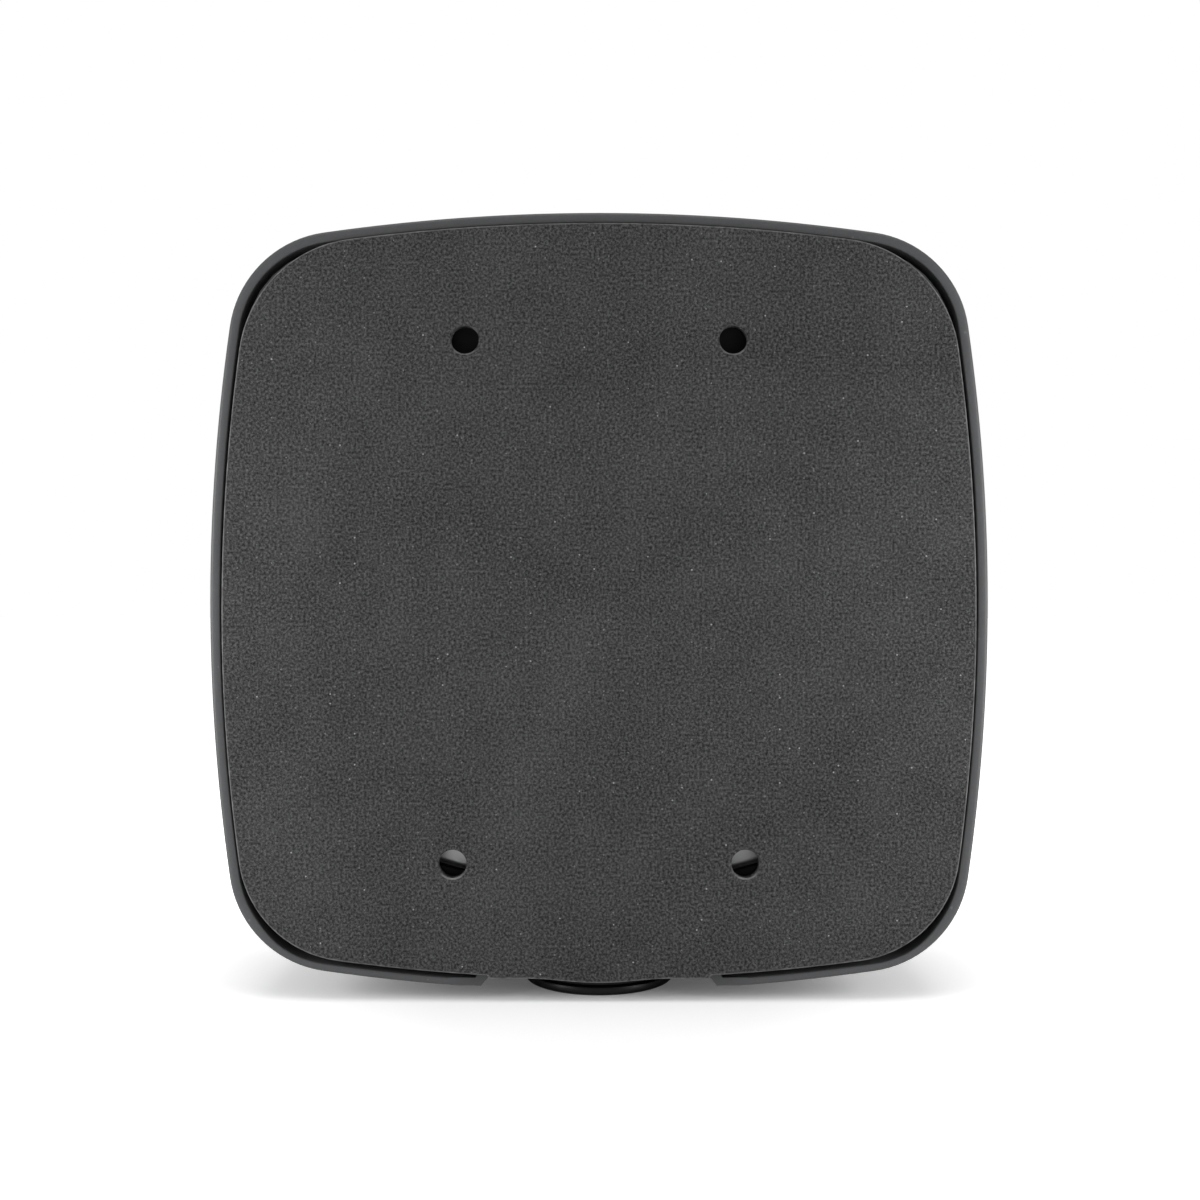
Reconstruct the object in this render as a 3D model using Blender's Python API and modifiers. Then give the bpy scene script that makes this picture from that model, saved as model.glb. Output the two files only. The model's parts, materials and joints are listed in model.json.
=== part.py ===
"""Wall and ceiling access point: a squircle housing on a foam-backed mounting plate.

Metres, +Z up. The origin is the centre of the foam pad's wall face, -Y points into
the wall and +Y out into the room. The cable gland is at the bottom, on -Z.
"""
import math

import bmesh
import bpy
from mathutils import Matrix

# Driving dimensions -------------------------------------------------------------

gap = 0.0003                   # clearance between two pieces that touch

body_width = 0.160             # housing across, and also its height
side_radius = 0.400            # the bulge of each side
corner_radius = 0.0227
wall = 0.0022                  # shell thickness
rim_back = 0.0010              # the shell's back edge, in front of the pad's face
wall_depth = 0.0290            # where the side wall starts to curve to the front
front_edge = 0.0430            # where the curved edge meets the front face
front_dome = 0.0012            # crown of the front face
edge_inset = 0.0140            # width of the curved front edge, seen from the front
draft = 0.0005
side_steps = 6
corner_steps = 6

seat_depth = 0.0025            # the flat at the bottom, in from the outline
seat_half = 0.0229             # half width of the flat
ramp = 0.0015                  # width of the slope at each end of the flat
notch_slope = 4.0              # length of the rim dip's ends, for each unit of its depth
notch_cover = 0.7              # share of the wall that the dip reaches past the ramps
notch_height = 0.0140          # height of the cutter that makes the dip
ledge_embed = 0.0008           # wall left outside the ledge's edge

pad_thickness = 0.0020
pad_clearance = 0.0005         # pad to shell, at the sides
pad_rise = 0.0002              # the pad sits this much above centre
pad_top_corner = 0.0275
pad_bottom_corner = 0.0235
tab_inset = 0.0028             # the tab's lower edge, in from the housing's outline
tab_half = 0.0224
tab_foot = 0.0006              # width of the slope at each end of the tab
tab_swell = 0.0009             # the tab's bulge in front of the gland
swell_half = 0.0150

plate_thickness = 0.0016
plate_clearance = 0.0009       # plate to shell
hole_radius = 0.00275          # screw holes in the pad
plate_hole_radius = 0.0031     # larger than the pad's holes, so they stay clear
top_hole_spacing = 0.0550
bottom_hole_spacing = 0.0600
hole_row = 0.0537              # both rows, from the origin

cover_space = 0.0007           # free space between plate and back cover
cover_thickness = 0.0018
cover_channel = 0.0046         # room for the snap arms outside the cover
seal_thickness = 0.0012
seal_width = 0.0020
ledge_thickness = 0.0018
ledge_overlap = 0.0023         # how far the ledge reaches inside the cover's edge
arm_length = 0.0140
arm_thickness = 0.0016
arm_nose = 0.0009

window_half = 0.0500           # the heat sink's window in the back cover
window_top = 0.0450
window_corner_low = 0.0496     # lower edge of the window at its sides
window_slope = 0.28            # how fast that edge runs down to the middle
window_chamfer = 0.0120
flange_width = 0.0085          # the heat sink's flange round the window
flange_drop = 0.0042           # and below it
flange_thickness = 0.0020
sink_seal_thickness = 0.0008
sink_boss_back = 0.0003        # the sink's face, in from the cover's back face

pad_gap_fill = 0.0010          # thermal pad thickness
chip_height = 0.0015
pedestal = 0.0022
board_thickness = 0.0016
board_half = 0.0580
board_top = 0.0480
board_bottom = -0.0500

screw_head = 0.0026
screw_shank = 0.0011
screw_length = 0.0080
screw_grip = 0.0006             # a board screw's tip, above the bottom of its hole
post_radius = 0.0034
post_share = 0.7125            # corner posts, as a share of half the width
side_post_inset = 0.0140       # side posts, in from the outline
sink_screw_inset = 0.0052      # the sink's screws, out from the window
sink_screw_rows = (-0.030, 0.020)
board_screw_inset = 0.0060
board_screw_rows = (-0.020, 0.010)
arm_rows = (-0.030, 0.030)

gland_y = 0.0210               # gland axis, from the wall
cap_radius = 0.0161
cap_thickness = 0.0018
flange_radius = 0.0157
gland_flange = 0.0011
gasket_radius = 0.0140
gasket_thickness = 0.0008
neck_radius = 0.0080
neck_reach = 0.0130            # neck length above the flange
neck_bore = 0.0062
neck_lip = 0.0010
cable_hole = 0.0032
nut_flats = 0.0200
nut_thickness = 0.0040
plug_length = 0.0060           # the cap's threaded sleeve

button_x = 0.0195
button_y = 0.0185
button_radius = 0.0019
button_travel = 0.0008
guide_wall = 0.0016
guide_height = 0.0070

jack_width = 0.0160
jack_depth = 0.0135
jack_height = 0.0210

carrier_y = 0.0330
carrier_thickness = 0.0015
carrier_half = 0.0560
pipe_radius = 0.0015
pipe_z = 0.0360
lead_radius = 0.0006

# Derived places -----------------------------------------------------------------

half = body_width / 2
seat_z = -(half - seat_depth)
plate_back = pad_thickness + gap
plate_front = plate_back + plate_thickness
cover_back = plate_front + cover_space
cover_front = cover_back + cover_thickness
cover_inset = wall + cover_channel
seal_back = cover_front + gap
ledge_back = seal_back + seal_thickness + gap
ledge_inset = cover_inset + ledge_overlap
sink_seal_back = cover_front + gap
flange_back = sink_seal_back + sink_seal_thickness + gap
flange_front = flange_back + flange_thickness
pedestal_front = flange_front + pedestal
thermal_back = pedestal_front + gap
chip_back = thermal_back + pad_gap_fill + gap
board_back = chip_back + chip_height + gap
board_front = board_back + board_thickness
parts_back = board_front + gap
front_inside = front_edge - wall

gasket_top = seat_z - gap
flange_top = gasket_top - gasket_thickness - gap
flange_low = flange_top - gland_flange
cap_top = flange_low - gap
cap_low = cap_top - cap_thickness
neck_top = flange_top + neck_reach
inner_seat = seat_z + wall
switch_nose = board_bottom - 0.0006

# Scene --------------------------------------------------------------------------

for old in list(bpy.data.objects):
    bpy.data.objects.remove(old)

parts = bpy.data.collections.new("access_point")
tools = bpy.data.collections.new("cutters")
bpy.context.scene.collection.children.link(parts)
bpy.context.scene.collection.children.link(tools)


def material(name, colour, roughness, metallic=0.0):
    """A plain Principled material."""
    made = bpy.data.materials.new(name)
    made.use_nodes = True
    shader = made.node_tree.nodes["Principled BSDF"]
    shader.inputs["Base Color"].default_value = (*colour, 1.0)
    shader.inputs["Roughness"].default_value = roughness
    shader.inputs["Metallic"].default_value = metallic
    return made


shell_plastic = material("shell_plastic", (0.075, 0.077, 0.080), 0.55)
foam = material("foam", (0.060, 0.061, 0.063), 0.95)
plate_plastic = material("plate_plastic", (0.045, 0.046, 0.048), 0.60)
cover_plastic = material("cover_plastic", (0.012, 0.012, 0.013), 0.60)
black_plastic = material("black_plastic", (0.012, 0.012, 0.013), 0.40)
seal_rubber = material("seal_rubber", (0.015, 0.015, 0.016), 0.85)
cast_metal = material("cast_metal", (0.55, 0.56, 0.57), 0.45, 1.0)
screw_steel = material("screw_steel", (0.42, 0.42, 0.43), 0.35, 1.0)
tinned_steel = material("tinned_steel", (0.62, 0.62, 0.60), 0.30, 1.0)
board_green = material("board_green", (0.020, 0.090, 0.045), 0.45)
chip_resin = material("chip_resin", (0.020, 0.020, 0.022), 0.50)
thermal_grey = material("thermal_grey", (0.35, 0.42, 0.48), 0.90)
ferrite = material("ferrite", (0.060, 0.058, 0.055), 0.70)
can_aluminium = material("can_aluminium", (0.60, 0.60, 0.61), 0.35, 1.0)
clear_plastic = material("clear_plastic", (0.80, 0.82, 0.84), 0.20)
led_resin = material("led_resin", (0.75, 0.75, 0.65), 0.30)
white_plastic = material("white_plastic", (0.62, 0.62, 0.60), 0.50)
lead_jacket = material("lead_jacket", (0.030, 0.030, 0.032), 0.50)
button_grey = material("button_grey", (0.10, 0.10, 0.105), 0.50)

# Building tools -----------------------------------------------------------------


def add(name, mesh, look=None):
    """Put a mesh in the object, or among the cutters when it has no material."""
    made = bpy.data.objects.new(name, mesh)
    if look is None:
        tools.objects.link(made)
        made.hide_render = True
        made.display_type = "WIRE"
    else:
        parts.objects.link(made)
        mesh.materials.append(look)
    return made


def meshOf(bm, name):
    """Turn a bmesh into mesh data."""
    mesh = bpy.data.meshes.new(name)
    bmesh.ops.recalc_face_normals(bm, faces=bm.faces)
    bm.to_mesh(mesh)
    bm.free()
    return mesh


def smooth(made, angle=0.6):
    """Shade round sides smooth and keep the edges sharp."""
    made.data.shade_smooth()
    made.data.set_sharp_from_angle(angle=angle)
    return made


def block(name, centre, size, look=None, edge=0.0):
    """A box of the given full size, with bevelled edges if asked."""
    bm = bmesh.new()
    bmesh.ops.create_cube(bm, size=1.0)
    bmesh.ops.scale(bm, vec=size, verts=bm.verts)
    made = add(name, meshOf(bm, name), look)
    made.location = centre
    if edge:
        bevel = made.modifiers.new("edges", "BEVEL")
        bevel.width = edge
        bevel.segments = 1
    return made


def rods(name, places, radius, start, end, look=None, steps=16, axis="Y", spin=0.0):
    """Bars along one axis at the given places, from start to end, round or with few sides."""
    bm = bmesh.new()
    for u, v in places:
        made = bmesh.ops.create_cone(bm, cap_ends=True, segments=steps, radius1=radius,
                                     radius2=radius, depth=end - start)
        bmesh.ops.transform(bm, matrix=Matrix.Rotation(spin, 4, "Z"), verts=made["verts"])
        middle = (start + end) / 2
        if axis == "Y":
            turn = Matrix.Rotation(math.pi / 2, 4, "X")
            bmesh.ops.transform(bm, matrix=turn, verts=made["verts"])
            bmesh.ops.translate(bm, vec=(u, middle, v), verts=made["verts"])
        else:
            bmesh.ops.translate(bm, vec=(u, v, middle), verts=made["verts"])
    return smooth(add(name, meshOf(bm, name), look))


turns = {"Z": 0.0, "Y": math.pi / 2, "front": -math.pi / 2}


def turned(name, profile, centre, look=None, steps=32, axis="Z"):
    """A turned shape: the profile's (radius, height) points swept round its axis.

    The profile runs down its outer side. One with a bore is closed, and a solid one
    starts and ends on the axis. Its top points up for Z, to the wall for Y and to the
    room for front.
    """
    mesh = bpy.data.meshes.new(name)
    points = [(r, 0.0, h) for r, h in profile]
    edges = [(i, i + 1) for i in range(len(points) - 1)]
    if profile[0][0] > 0:
        edges.append((len(points) - 1, 0))
    mesh.from_pydata(points, edges, [])
    made = add(name, mesh, look)
    made.location = centre
    made.rotation_euler = (turns[axis], 0.0, 0.0)
    screw = made.modifiers.new("turn", "SCREW")
    screw.steps = steps
    screw.render_steps = steps
    screw.use_merge_vertices = True
    screw.merge_threshold = 0.00001
    screw.use_smooth_shade = True
    return made


def frozen(source):
    """The evaluated mesh of an object, welded, as a new object in its place."""
    bpy.context.view_layer.update()
    graph = bpy.context.evaluated_depsgraph_get()
    mesh = bpy.data.meshes.new_from_object(source.evaluated_get(graph))
    bm = bmesh.new()
    bm.from_mesh(mesh)
    bmesh.ops.remove_doubles(bm, verts=bm.verts, dist=0.00001)
    bmesh.ops.recalc_face_normals(bm, faces=bm.faces)
    bm.to_mesh(mesh)
    bm.free()
    name = source.name
    home = source.users_collection[0]
    matrix = source.matrix_world.copy()
    hidden = source.hide_render
    bpy.data.objects.remove(source)
    made = bpy.data.objects.new(name, mesh)
    home.objects.link(made)
    made.matrix_world = matrix
    if hidden:
        made.hide_render = True
        made.display_type = "WIRE"
    return made


def sheet(name, loops, start, end, look=None):
    """A flat outline in the XZ plane, with its holes, from start to end along Y."""
    curve = bpy.data.curves.new(name, "CURVE")
    curve.dimensions = "2D"
    curve.fill_mode = "BOTH"
    curve.extrude = (end - start) / 2
    for loop in loops:
        spline = curve.splines.new("POLY")
        spline.points.add(len(loop) - 1)
        for point, (x, z) in zip(spline.points, loop):
            point.co = (x, z, 0.0, 1.0)
        spline.use_cyclic_u = True
    made = add(name, curve, look)
    made.location = (0.0, (start + end) / 2, 0.0)
    made.rotation_euler = (math.pi / 2, 0.0, 0.0)
    return frozen(made)


def tube(name, points, radius, look):
    """A round wire through the points."""
    curve = bpy.data.curves.new(name, "CURVE")
    curve.dimensions = "3D"
    curve.bevel_depth = radius
    curve.bevel_resolution = 1
    curve.use_fill_caps = True
    spline = curve.splines.new("POLY")
    spline.points.add(len(points) - 1)
    for point, place in zip(spline.points, points):
        point.co = (*place, 1.0)
    return smooth(frozen(add(name, curve, look)))


def boolean(target, other, operation="DIFFERENCE"):
    """Cut another shape out of the target, or join it on."""
    change = target.modifiers.new(other.name, "BOOLEAN")
    change.object = other
    change.operation = operation
    change.solver = "EXACT"
    return target


def weld(target):
    """Close the hairline seams that a join can leave."""
    change = target.modifiers.new("weld", "WELD")
    change.merge_threshold = 0.00001
    return target


# Outlines -----------------------------------------------------------------------


def sideSag(across, radius, reach):
    """Height of a side's arc at a distance across it."""
    return math.sqrt(radius * radius - across * across) - (radius - reach)


def cornerArc(reach, radius, corner):
    """Centre of the corner arc, the same along both axes, and its start angle."""
    base = reach - radius
    inner = radius - corner
    centre = (base + math.sqrt(2 * inner * inner - base * base)) / 2
    return centre, math.atan2(centre, centre - base)


def squircle(reach, radius, top_corner, bottom_corner, bottom_points=None):
    """Outline points of a rounded square, starting on the right and running up.

    bottom_points, when given, replaces the lower side between its two corners.
    """
    points = []
    for quarter in range(4):
        turn = quarter * math.pi / 2
        before = bottom_corner if quarter in (0, 3) else top_corner
        after = top_corner if quarter in (0, 1) else bottom_corner
        low = cornerArc(reach, radius, before)[1]
        centre, high = cornerArc(reach, radius, after)
        base = reach - radius
        side = []
        if quarter == 3 and bottom_points:
            side = [(-z, x) for x, z in bottom_points]
        else:
            for step in range(side_steps + 1):
                angle = -low + (low + high) * step / side_steps
                side.append((base + radius * math.cos(angle), radius * math.sin(angle)))
        for step in range(1, corner_steps):
            angle = high + (math.pi / 2 - 2 * high) * step / corner_steps
            side.append((centre + after * math.cos(angle), centre + after * math.sin(angle)))
        cos, sin = round(math.cos(turn)), round(math.sin(turn))
        points += [(u * cos - v * sin, u * sin + v * cos) for u, v in side]
    return points


def bottomSide(reach, radius, corner, feet, level):
    """The lower side from left to right, lifted to a level between its feet."""
    low = cornerArc(reach, radius, corner)[1]
    end = radius * math.sin(low)
    outer, inner = min(feet[0], end * 0.6), min(feet[1], end * 0.5)
    across = [-end, -(end + outer) / 2, -outer, -inner, -inner / 2, 0.0]
    across += [-x for x in reversed(across[:-1])]
    points = []
    for x in across:
        z = -sideSag(x, radius, reach)
        points.append((x, max(z, level) if abs(x) <= inner else z))
    return points


def shellOutline(inset, follow=False):
    """The housing's outline, drawn in by inset, with its flat at the bottom.

    The flat stays at its own height, or moves in with the outline to follow the wall.
    """
    reach = half - inset
    radius = side_radius - inset
    corner = max(corner_radius - inset, 0.002)
    flat = seat_z + inset if follow else seat_z
    spread = inset * math.tan(math.atan2(seat_depth, ramp) / 2) if follow else 0.0
    feet = (seat_half + ramp + spread, seat_half + spread)
    return squircle(reach, radius, corner, corner, bottomSide(reach, radius, corner, feet, flat))


def padOutline():
    """The pad's outline, with the tab that covers the shell's flat."""
    reach = half - wall - pad_clearance
    radius = side_radius - wall - pad_clearance
    low = cornerArc(reach, radius, pad_bottom_corner)[1]
    end = radius * math.sin(low)
    foot = tab_half + tab_foot
    tab_z = tab_inset - half - pad_rise
    bottom = [(-x, -sideSag(x, radius, reach)) for x in (end, (end + foot) / 2, foot)]
    bottom.append((-tab_half, tab_z))
    for step in range(5):
        x = -swell_half + swell_half * step / 4
        swell = tab_swell * (1 + math.cos(math.pi * x / swell_half)) / 2
        bottom.append((x, tab_z - swell))
    bottom += [(-x, z) for x, z in reversed(bottom[:-1])]
    outline = squircle(reach, radius, pad_top_corner, pad_bottom_corner, bottom)
    return [(x, z + pad_rise) for x, z in outline]


def ring(outline_out, outline_in):
    """An outline with a hole."""
    return [outline_out, list(reversed(outline_in))]


def windowOutline(grow, drop=None):
    """The heat sink's window, or a copy that is larger all round, and by drop below."""
    side = window_half + grow
    high = window_top + grow
    cut = side - window_chamfer
    apex = -window_corner_low - window_slope * window_half - (grow if drop is None else drop)
    low = apex + window_slope * side
    right = [(side, low + window_chamfer), (side, high - window_chamfer), (cut, high)]
    left = [(-x, z) for x, z in reversed(right)]
    foot = apex + window_slope * cut
    return right + left + [(-cut, foot), (0.0, apex), (cut, foot)]


def circle(x, z, radius, steps=16):
    """A round hole for a flat outline."""
    turn = 2 * math.pi / steps
    return [(x + radius * math.cos(-i * turn), z + radius * math.sin(-i * turn))
            for i in range(steps)]


# Shared patterns ----------------------------------------------------------------

screw_holes = [(side * spacing / 2, height)
               for spacing, height in ((top_hole_spacing, hole_row),
                                       (bottom_hole_spacing, -hole_row))
               for side in (-1, 1)]
post_corner = post_share * half
cover_posts = [(x * post_corner, z * post_corner) for x in (-1, 1) for z in (-1, 1)]
cover_posts += [(side * (half - side_post_inset), 0.0) for side in (-1, 1)]
sink_screw_x = window_half + sink_screw_inset
sink_screw_places = [(x * sink_screw_x, z) for x in (-1, 1) for z in sink_screw_rows]
board_screw_x = board_half - board_screw_inset
board_screw_places = [(x * board_screw_x, z) for x in (-1, 1) for z in board_screw_rows]
chip_places = [                # x, z, width and height: processor, then the two radios
    (0.0, 0.005, 0.022, 0.022),
    (-0.033, 0.012, 0.024, 0.024),
    (0.033, 0.012, 0.024, 0.024),
]
antenna_places = {
    "antenna_top_left": (-0.036, 0.034),
    "antenna_top_right": (0.036, 0.034),
    "antenna_bottom_left": (-0.036, -0.030),
    "antenna_bottom_right": (0.036, -0.030),
}

# The wall mount -----------------------------------------------------------------


def buildPad():
    """Closed-cell foam between the wall and the plate."""
    loops = [padOutline()] + [circle(x, z, hole_radius, 24) for x, z in screw_holes]
    sheet("wall_pad", loops, 0.0, pad_thickness, foam)


def buildPlate():
    """The moulded plate that is screwed to the wall, with its snap arms."""
    inset = wall + plate_clearance
    loops = [shellOutline(inset, True)]
    loops += [circle(x, z, plate_hole_radius, 24) for x, z in screw_holes]
    plate = sheet("mount_plate", loops, plate_back, plate_front, plate_plastic)
    reach = half - wall - gap - arm_nose
    tip = ledge_back - gap
    arms = []
    for side in (-1, 1):
        for height in arm_rows:
            bulge = half - sideSag(abs(height) + arm_length / 2, side_radius, half)
            x = side * (reach - bulge - arm_thickness / 2)
            arms.append(((x, (plate_front + tip) / 2 - 0.0003, height),
                         (arm_thickness, tip - plate_front + 0.0006, arm_length)))
            nose_x = side * (reach - bulge + arm_nose / 2 - 0.0001)
            arms.append(((nose_x, tip - 0.0010, height), (arm_nose, 0.0014, arm_length)))
    for index, (centre, size) in enumerate(arms):
        boolean(plate, block(f"arm_{index}", centre, size), "UNION")


# The housing --------------------------------------------------------------------


def shellProfile():
    """(inset, y) pairs from the back edge to the middle of the front."""
    profile = [(0.0, rim_back), (draft, wall_depth)]
    depth = front_edge - wall_depth
    for step in range(1, 6):
        angle = step * math.pi / 10
        profile.append((edge_inset - (edge_inset - draft) * math.cos(angle),
                        wall_depth + depth * math.sin(angle)))
    profile.append(((edge_inset + half) / 2, front_edge + front_dome * 0.75))
    profile.append((half * 0.85, front_edge + front_dome))
    return profile


def rimNotch():
    """The shallow dip in the rim under the pad's tab, with sloped ends."""
    depth = pad_thickness + gap - rim_back
    inner = seat_half + ramp + wall * notch_cover
    notch = block("rim_notch", (0.0, rim_back, seat_z), (2 * inner, 2 * depth, notch_height))
    for vert in notch.data.vertices:
        if vert.co.y < 0:
            vert.co.x += math.copysign(2 * depth * notch_slope, vert.co.x)
    return notch


def buildShell():
    """The one-piece shell: side walls, curved front, inner ledge and screw posts."""
    bm = bmesh.new()
    verts = []
    edges = []
    for inset, y in shellProfile():
        outline = shellOutline(inset)
        if not verts:
            verts = [bm.verts.new((x, y, z)) for x, z in outline]
            edges = [bm.edges.new((verts[i - 1], verts[i])) for i in range(len(verts))]
            continue
        grown = bmesh.ops.extrude_edge_only(bm, edges=edges)
        copies = {}
        for old in verts:
            for edge in old.link_edges:
                other = edge.other_vert(old)
                if other in grown["geom"] and (other.co - old.co).length < 1e-9:
                    copies[old] = other
        verts = [copies[old] for old in verts]
        edges = [item for item in grown["geom"] if isinstance(item, bmesh.types.BMEdge)
                 and all(vert in verts for vert in item.verts)]
        for vert, (x, z) in zip(verts, outline):
            vert.co = (x, y, z)
    bmesh.ops.edgeloop_fill(bm, edges=edges)
    bmesh.ops.recalc_face_normals(bm, faces=bm.faces)
    centre = max(bm.faces, key=lambda face: face.calc_center_median().y)
    if centre.normal.y < 0:
        bmesh.ops.reverse_faces(bm, faces=bm.faces)
    mesh = bpy.data.meshes.new("main_shell")
    bm.to_mesh(mesh)
    bm.free()
    shell = smooth(add("main_shell", mesh, shell_plastic), 0.5)
    thick = shell.modifiers.new("wall", "SOLIDIFY")
    thick.thickness = wall
    thick.offset = -1.0
    thick.use_even_offset = True
    shell.modifiers.new("flat_faces", "TRIANGULATE")

    embed = wall - ledge_embed
    ledge = sheet("ledge", ring(shellOutline(embed, True), shellOutline(ledge_inset)),
                  ledge_back, ledge_back + ledge_thickness)
    boolean(shell, ledge, "UNION")
    weld(shell)
    posts = rods("posts", cover_posts, post_radius, seal_back, front_inside + 0.0007)
    boolean(shell, posts, "UNION")
    guide = rods("guide", [(button_x, button_y)], button_radius + gap + guide_wall,
                 seat_z + 0.0004, seat_z + guide_height, axis="Z")
    boolean(shell, guide, "UNION")
    weld(shell)

    boolean(shell, rimNotch())
    boolean(shell, rods("post_holes", cover_posts, screw_shank + gap, seal_back - 0.001,
                        seal_back + screw_length, steps=12))
    boolean(shell, rods("gland_hole", [(0.0, gland_y)], neck_radius + gap,
                        seat_z - 0.002, inner_seat + 0.002, steps=32, axis="Z"))
    boolean(shell, rods("button_hole", [(button_x, button_y)], button_radius + gap,
                        seat_z - 0.002, seat_z + guide_height + 0.002, axis="Z"))
    boolean(shell, rods("pipe_hole", [(0.0, pipe_z)], pipe_radius + gap,
                        front_inside - 0.004, front_edge + front_dome + 0.002, steps=12))


def countersunk(name, places, look):
    """Countersunk screws, flush with the back of the cover."""
    cone = screw_head - screw_shank
    profile = [(0.0, 0.0), (screw_head, 0.0), (screw_head, -0.0002),
               (screw_shank, -0.0002 - cone), (screw_shank, -screw_length), (0.0, -screw_length)]
    for index, (x, z) in enumerate(places, 1):
        turned(f"{name}_{index}", profile, (x, cover_back, z), look, 12, axis="Y")


def countersinks(name, places):
    """The matching holes, with clearance."""
    top = screw_head + gap
    cone = screw_head - screw_shank
    low = screw_shank + gap
    profile = [(0.0, 0.001), (top, 0.001), (top, -0.0002 - gap), (low, -0.0002 - gap - cone),
               (low, -screw_length - gap), (0.0, -screw_length - gap)]
    made = []
    for index, (x, z) in enumerate(places):
        made.append(turned(f"{name}_{index}", profile, (x, cover_back, z), None, 12, axis="Y"))
    return made


def buildCover():
    """The inner back cover with the heat sink's window, its seal and its screws."""
    cover = sheet("back_cover", ring(shellOutline(cover_inset), windowOutline(gap)),
                  cover_back, cover_front, cover_plastic)
    for cutter in countersinks("countersink", cover_posts + sink_screw_places):
        boolean(cover, cutter)
    inner = cover_inset + 0.0002
    sheet("cover_seal", ring(shellOutline(inner), shellOutline(inner + seal_width)),
          seal_back, seal_back + seal_thickness, seal_rubber)
    countersunk("cover_screw", cover_posts, screw_steel)


def buildSink():
    """The cast heat sink: a boss in the window, a flange behind it, and pedestals."""
    sink = sheet("heat_sink", [windowOutline(flange_width, flange_drop)], flange_back, flange_front,
                 cast_metal)
    boss = sheet("boss", [windowOutline(-gap)], cover_back + sink_boss_back,
                 flange_back + 0.0002)
    boolean(sink, boss, "UNION")
    for index, (x, z, width, height) in enumerate(chip_places):
        rise = block(f"pedestal_{index}", (x, (flange_front + pedestal_front) / 2 - 0.0001, z),
                     (width, pedestal + 0.0002, height))
        boolean(sink, rise, "UNION")
    boolean(sink, rods("standoffs", board_screw_places, 0.0030, flange_front - 0.0002,
                       board_back - gap), "UNION")
    boolean(sink, rods("standoff_holes", board_screw_places, screw_shank + gap,
                       flange_front + 0.0002, board_back + 0.001, steps=12))
    for cutter in countersinks("sink_thread", sink_screw_places):
        boolean(sink, cutter)
    sheet("sink_seal", ring(windowOutline(0.0016), windowOutline(0.0004)), sink_seal_back,
          sink_seal_back + sink_seal_thickness, seal_rubber)
    countersunk("sink_screw", sink_screw_places, screw_steel)


# Electronics --------------------------------------------------------------------


def buildBoardScrews():
    """Long screws through the carrier's posts and the board into the heat sink."""
    head = 0.0016
    seat = carrier_y + carrier_thickness + gap
    length = seat - flange_front - screw_grip
    profile = [(0.0, head), (0.0022, head), (0.0025, head * 0.6), (0.0025, 0.0),
               (screw_shank, 0.0), (screw_shank, -length), (0.0, -length)]
    for index, (x, z) in enumerate(board_screw_places, 1):
        turned(f"board_screw_{index}", profile, (x, seat, z), screw_steel, 12, axis="front")


def buildBoard():
    """The main board with its chips, shields, jack, power parts and switch."""
    cut = 0.012
    outline = [(board_half, board_bottom + cut), (board_half, board_top - cut),
               (board_half - cut, board_top), (cut - board_half, board_top),
               (-board_half, board_top - cut), (-board_half, board_bottom + cut),
               (cut - board_half, board_bottom), (board_half - cut, board_bottom)]
    holes = [circle(x, z, screw_shank + gap, 12) for x, z in board_screw_places]
    sheet("main_board", [outline] + holes, board_back, board_front, board_green)

    names = ("processor", "radio_shield_left", "radio_shield_right")
    looks = (chip_resin, tinned_steel, tinned_steel)
    middle = chip_back + chip_height / 2
    for name, look, (x, z, width, height) in zip(names, looks, chip_places):
        block(name, (x, middle, z), (width, chip_height, height), look, 0.0003)
        block(f"{name}_pad", (x, thermal_back + pad_gap_fill / 2, z),
              (width - 0.002, pad_gap_fill, height - 0.002), thermal_grey)
    for side, name in ((-1, "memory_chip_left"), (1, "memory_chip_right")):
        block(name, (side * 0.016, middle, -0.020), (0.009, chip_height, 0.013), chip_resin, 0.0003)

    block("magnetics", (0.0, parts_back + 0.0028, -0.006), (0.0160, 0.0056, 0.0130), chip_resin,
          0.0004)
    buildJack()
    coil = block("power_inductor", (0.030, parts_back + 0.0030, -0.016), (0.0120, 0.0060, 0.0120),
                 ferrite, 0.0010)
    boolean(coil, rods("inductor_well", [(0.030, -0.016)], 0.0036, parts_back + 0.0045,
                       parts_back + 0.0070, steps=16))
    buildCapacitors()
    block("status_led", (0.0, parts_back + 0.0006, pipe_z), (0.0032, 0.0012, 0.0028), led_resin,
          0.0002)


def buildJack():
    """The network jack: a shielded box whose mouth faces the gland."""
    low = board_bottom + 0.004
    centre = (0.0, parts_back + jack_depth / 2, low + jack_height / 2)
    jack = block("ethernet_jack", centre, (jack_width, jack_depth, jack_height), tinned_steel,
                 0.0003)
    mouth = block("mouth", (0.0, parts_back + jack_depth / 2, low + 0.0055),
                  (0.0119, 0.0084, 0.0130))
    latch = block("latch_way", (0.0, parts_back + jack_depth / 2 + 0.0052, low + 0.0045),
                  (0.0036, 0.0024, 0.0110))
    boolean(jack, mouth)
    boolean(jack, latch)


def buildCapacitors():
    """Two upright cans with a groove near the foot."""
    radius = 0.0040
    height = 0.0100
    profile = [(0.0, height), (radius - 0.0004, height), (radius, height - 0.0004),
               (radius, 0.0022), (radius - 0.0004, 0.0018), (radius, 0.0014), (radius, 0.0),
               (0.0, 0.0)]
    for index, z in enumerate((-0.026, -0.014), 1):
        turned(f"capacitor_{index}", profile, (-0.028, parts_back, z), can_aluminium, 16,
               axis="front")


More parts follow.
